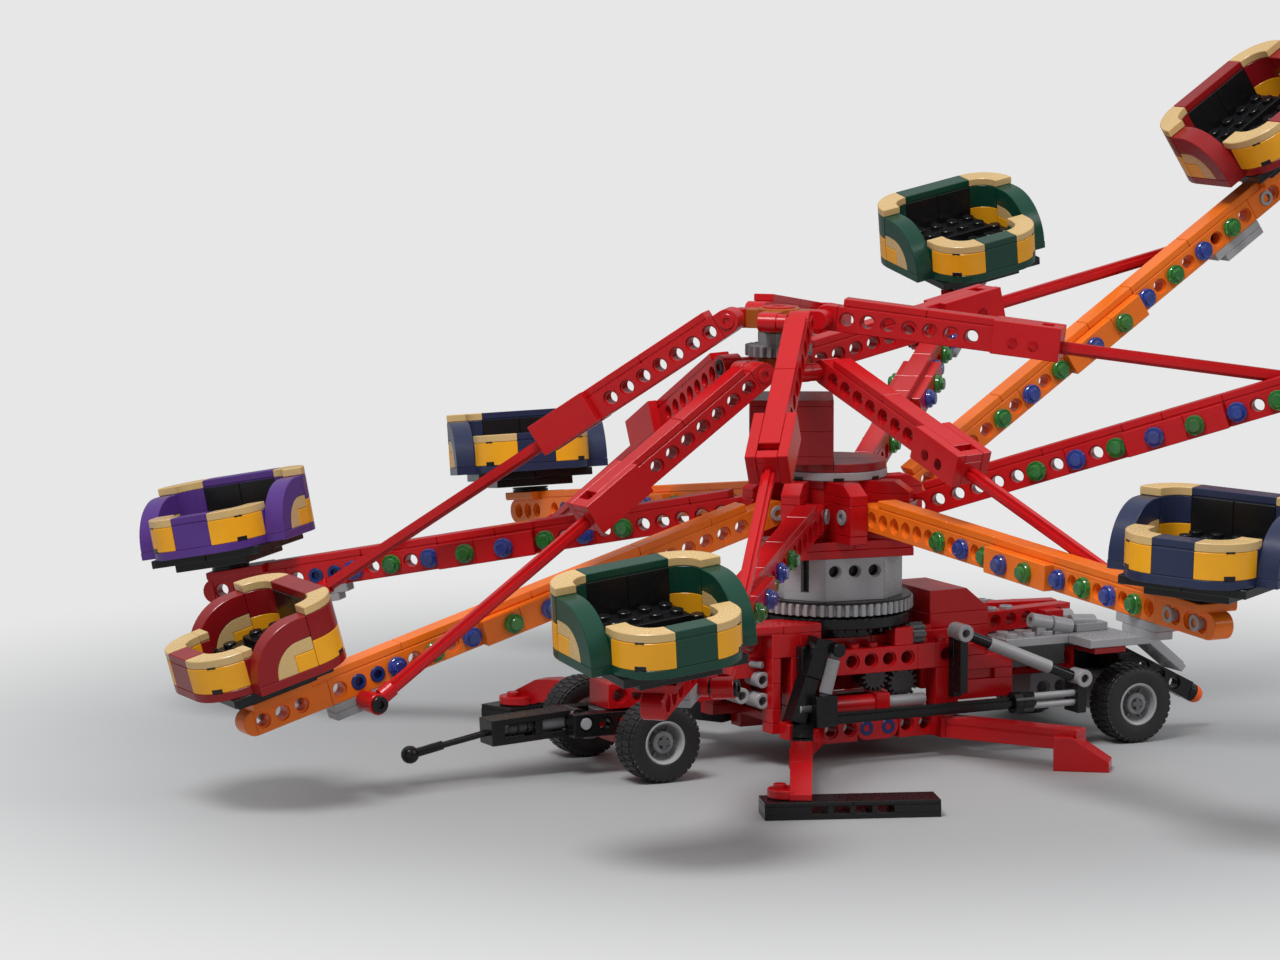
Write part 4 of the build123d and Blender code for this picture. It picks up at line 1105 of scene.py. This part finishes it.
def wheel(name, x, y):
    place = move(x, y, AXLE_Z) @ MIRROR[1 if y > 0 else -1]
    tyre = Piece("tread_" + name, "tyre", place)
    tyre.lathe((0, 0, 0), (0, 1, 0), TYRE, 48)
    for k, row in product(range(36), (-1, 1)):
        tyre.at = place @ turn_y(10 * k + 2.5 * row)
        tyre.box(14.2, 15.15, row * 0.5, row * 5.4, -0.95, 0.95, 0.12)
        tyre.box(13.2, 14.55, row * 5, row * 6.5, -0.8, 0.8, 0.2)
    tyre.finish("wheel_" + name, "tyre_" + name)

    rim = Piece("hub_" + name, "light_grey", place)
    rim.lathe((0, 0, 0), (0, 1, 0), RIM, 40)
    # Inner disc and ribs are mid grey, darker than the rim, as painted shade in its recess
    rim.paint("mid_grey")
    rim.lathe((0, 0, 0), (0, 1, 0), RIM_DISC, 40)
    for k in range(6):
        rim.at = place @ turn_y(60 * k)
        rim.box(4.3, 6.8, -5, 3, -0.4, 0.4, 0.1)
    rim.at = place
    rim.paint("dark_grey")
    rim.axle((0, 4, 0), (0, 6, 0), 2.2, 0.9)
    rim.finish("wheel_" + name, "rim_" + name)


def dolly():
    """Steered bogie under the front of the trailer."""
    piece = Piece("bogie_bricks", "dark_grey")
    plate = [(0, 0), (11.7, 0), (12, 0.3), (12, 2), (11.4, 2.2), (12, 2.4), (12, 4.2), (11.7, 4.5), (0, 4.5)]
    piece.lathe((FRONT_X, 0, 19.2), UP, plate, 32)
    piece.axle((FRONT_X, -36, AXLE_Z), (FRONT_X, 36, AXLE_Z), 2.35, 0.95)
    piece.paint("red")
    for y0, y1 in ((-20, -7.05), (-7, 7), (7.05, 20)):
        piece.box(-97, -85, y0, y1, 11, 21)
    for sign in (-1, 1):
        piece.at = MIRROR[sign]
        piece.paint("red")
        piece.tube((FRONT_X, 20.05, AXLE_Z), (FRONT_X, 24, AXLE_Z), 4.2, 2.4)
        piece.paint("black")
        piece.holed(-116, FRONT_X, 5.95, 12, 15, 23.7, [(-111, 20), (-103, 19.4), (-95, 19.4)], 2.4, 3)
    piece.at = Matrix()
    piece.paint("light_grey")
    piece.rod((-111, -12, 20), (-111, 12, 20), 2.3)
    piece.finish("dolly", "dolly_frame")


def drawbar():
    """Towing bar with its open box and its ball."""
    bar = Piece("towing_bar", "black", pitched((-111, 0, 20), 36, 2) @ turn_z(180))
    bar.tube((0, -5.4, 0), (0, 5.4, 0), 4.8, 2.35, 20)
    for sign in (-1, 1):
        bar.box(3.5, 31, sign * 3.6, sign * 5.5, -4.8, -2.6, 0.15)
        bar.box(3.5, 31, sign * 3.6, sign * 5.5, 2.6, 4.8, 0.15)
        bar.box(15, 18, sign * 3.6, sign * 5.5, -2.6, 2.6, 0.1)
    bar.box(3.5, 31, -3.6, 3.6, 3.4, 4.8, 0.15)
    bar.box(3.5, 31, -3.6, 3.6, -4.8, -3.4, 0.15)
    bar.box(30.5, 36, -5.5, 5.5, -4.8, 4.8)
    bar.paint("light_grey")
    bar.tube((3.6, 0, 0), (14, 0, 0), 2.9, 1.4)
    bar.paint("dark_grey")
    for x in (16, 20, 24):
        bar.rod((x, 0, 0), (x + 3.4, 0, 0), 2.6)
    bar.paint("black")
    bar.at = Matrix()
    root, tip = Vector((-147, 0, 18)), Vector((-178, 0, 12))
    along = (tip - root).normalized()
    for side in (-1, 1):
        bar.rod(root + Vector((2, side * 1.25, 0)), root + along * 22 + Vector((0, side * 0.8, 0)), 0.95)
    bar.rod(root + along * 18, tip, 1.7)
    ball = [(radius, -height) for height, radius in arc(0, 0, 3.4, 0, 180, 12)]
    ball[0], ball[-1] = (0, -3.4), (0, 3.4)
    bar.lathe(tip, (-1, 0, 0), ball, 24)
    bar.finish("drawbar", "drawbar")


chassis()
rear_box()
rear_deck()
tail()
legs()
jacks()
wheel("rear_near", REAR_X, -38)
wheel("rear_far", REAR_X, 38)
wheel("front_near", FRONT_X, -31)
wheel("front_far", FRONT_X, 31)
dolly()
drawbar()

# Floor and light

BACKDROP = (0.80, 0.80, 0.80, 1.0)


def mix_paper(tree, amount, shader, paper, output):
    """Shows the paper instead of the shader, as far as the amount says."""
    blend = add_node(tree, "MixShader")
    tree.links.new(amount, blend.inputs["Fac"])
    tree.links.new(shader.outputs[0], blend.inputs[1])
    tree.links.new(paper.outputs[0], blend.inputs[2])
    tree.links.new(blend.outputs["Shader"], tree.nodes[output].inputs["Surface"])


def studio_floor():
    """Floor with painted shade: darker grey about the ride, fading into the paper backdrop away from the ride,
    for the camera only.
    """
    half = 14.0
    mesh = bpy.data.meshes.new("studio_floor")
    corners = [(-half, -half, 0), (half, -half, 0), (half, half, 0), (-half, half, 0)]
    mesh.from_pydata(corners, [], [[0, 1, 2, 3]])
    floor = bpy.data.objects.new("studio_floor", mesh)
    bpy.context.collection.objects.link(floor)
    mat, tree, shader = node_material("studio_floor")
    # Dark grey base colour is painted shade about the ride; further out the camera sees the paper instead
    set_inputs(shader, Base_Color=(0.36, 0.37, 0.375, 1.0), Roughness=0.6)
    distance = add_node(tree, "VectorMath")
    distance.operation = "LENGTH"
    tree.links.new(add_node(tree, "TexCoord").outputs["Object"], distance.inputs[0])
    fade = add_node(tree, "MapRange", From_Min=0.17, From_Max=0.50)
    fade.interpolation_type = "SMOOTHSTEP"
    tree.links.new(distance.outputs["Value"], fade.inputs["Value"])
    amount = add_node(tree, "Math")
    amount.operation = "MULTIPLY"
    tree.links.new(fade.outputs["Result"], amount.inputs[0])
    tree.links.new(add_node(tree, "LightPath").outputs["Is Camera Ray"], amount.inputs[1])
    paper = add_node(tree, "Emission", Color=BACKDROP)
    mix_paper(tree, amount.outputs["Value"], shader, paper, "Material Output")
    mesh.materials.append(mat)


def area_light(name, place, target, size, power):
    data = bpy.data.lights.new(name, "AREA")
    data.shape = "DISK"
    data.size = size
    data.energy = power
    obj = bpy.data.objects.new(name, data)
    obj.location = place
    obj.rotation_euler = (Vector(target) - Vector(place)).to_track_quat("-Z", "Y").to_euler()
    bpy.context.collection.objects.link(obj)


def studio_world():
    """Soft light that is strongest from above, with the paper backdrop for the camera."""
    world = bpy.data.worlds.new("studio_world")
    bpy.context.scene.world = world
    world.use_nodes = True
    tree = world.node_tree
    light = tree.nodes["Background"]
    light.inputs["Color"].default_value = (0.82, 0.83, 0.85, 1.0)
    height = add_node(tree, "SeparateXYZ")
    tree.links.new(add_node(tree, "TexCoord").outputs["Generated"], height.inputs["Vector"])
    tree.links.new(map_range(tree, height.outputs["Z"], 0.06, 0.84, -0.15, 0.85), light.inputs["Strength"])
    paper = add_node(tree, "Background", Color=BACKDROP, Strength=1.0)
    mix_paper(tree, add_node(tree, "LightPath").outputs["Is Camera Ray"], light, paper, "World Output")


studio_floor()
area_light("key_light", (-0.9, -0.6, 1.9), (0, 0, 0.1), 0.8, 34.0)
area_light("fill_light", (1.4, -1.3, 1.2), (0, 0, 0.15), 1.0, 9.0)
studio_world()
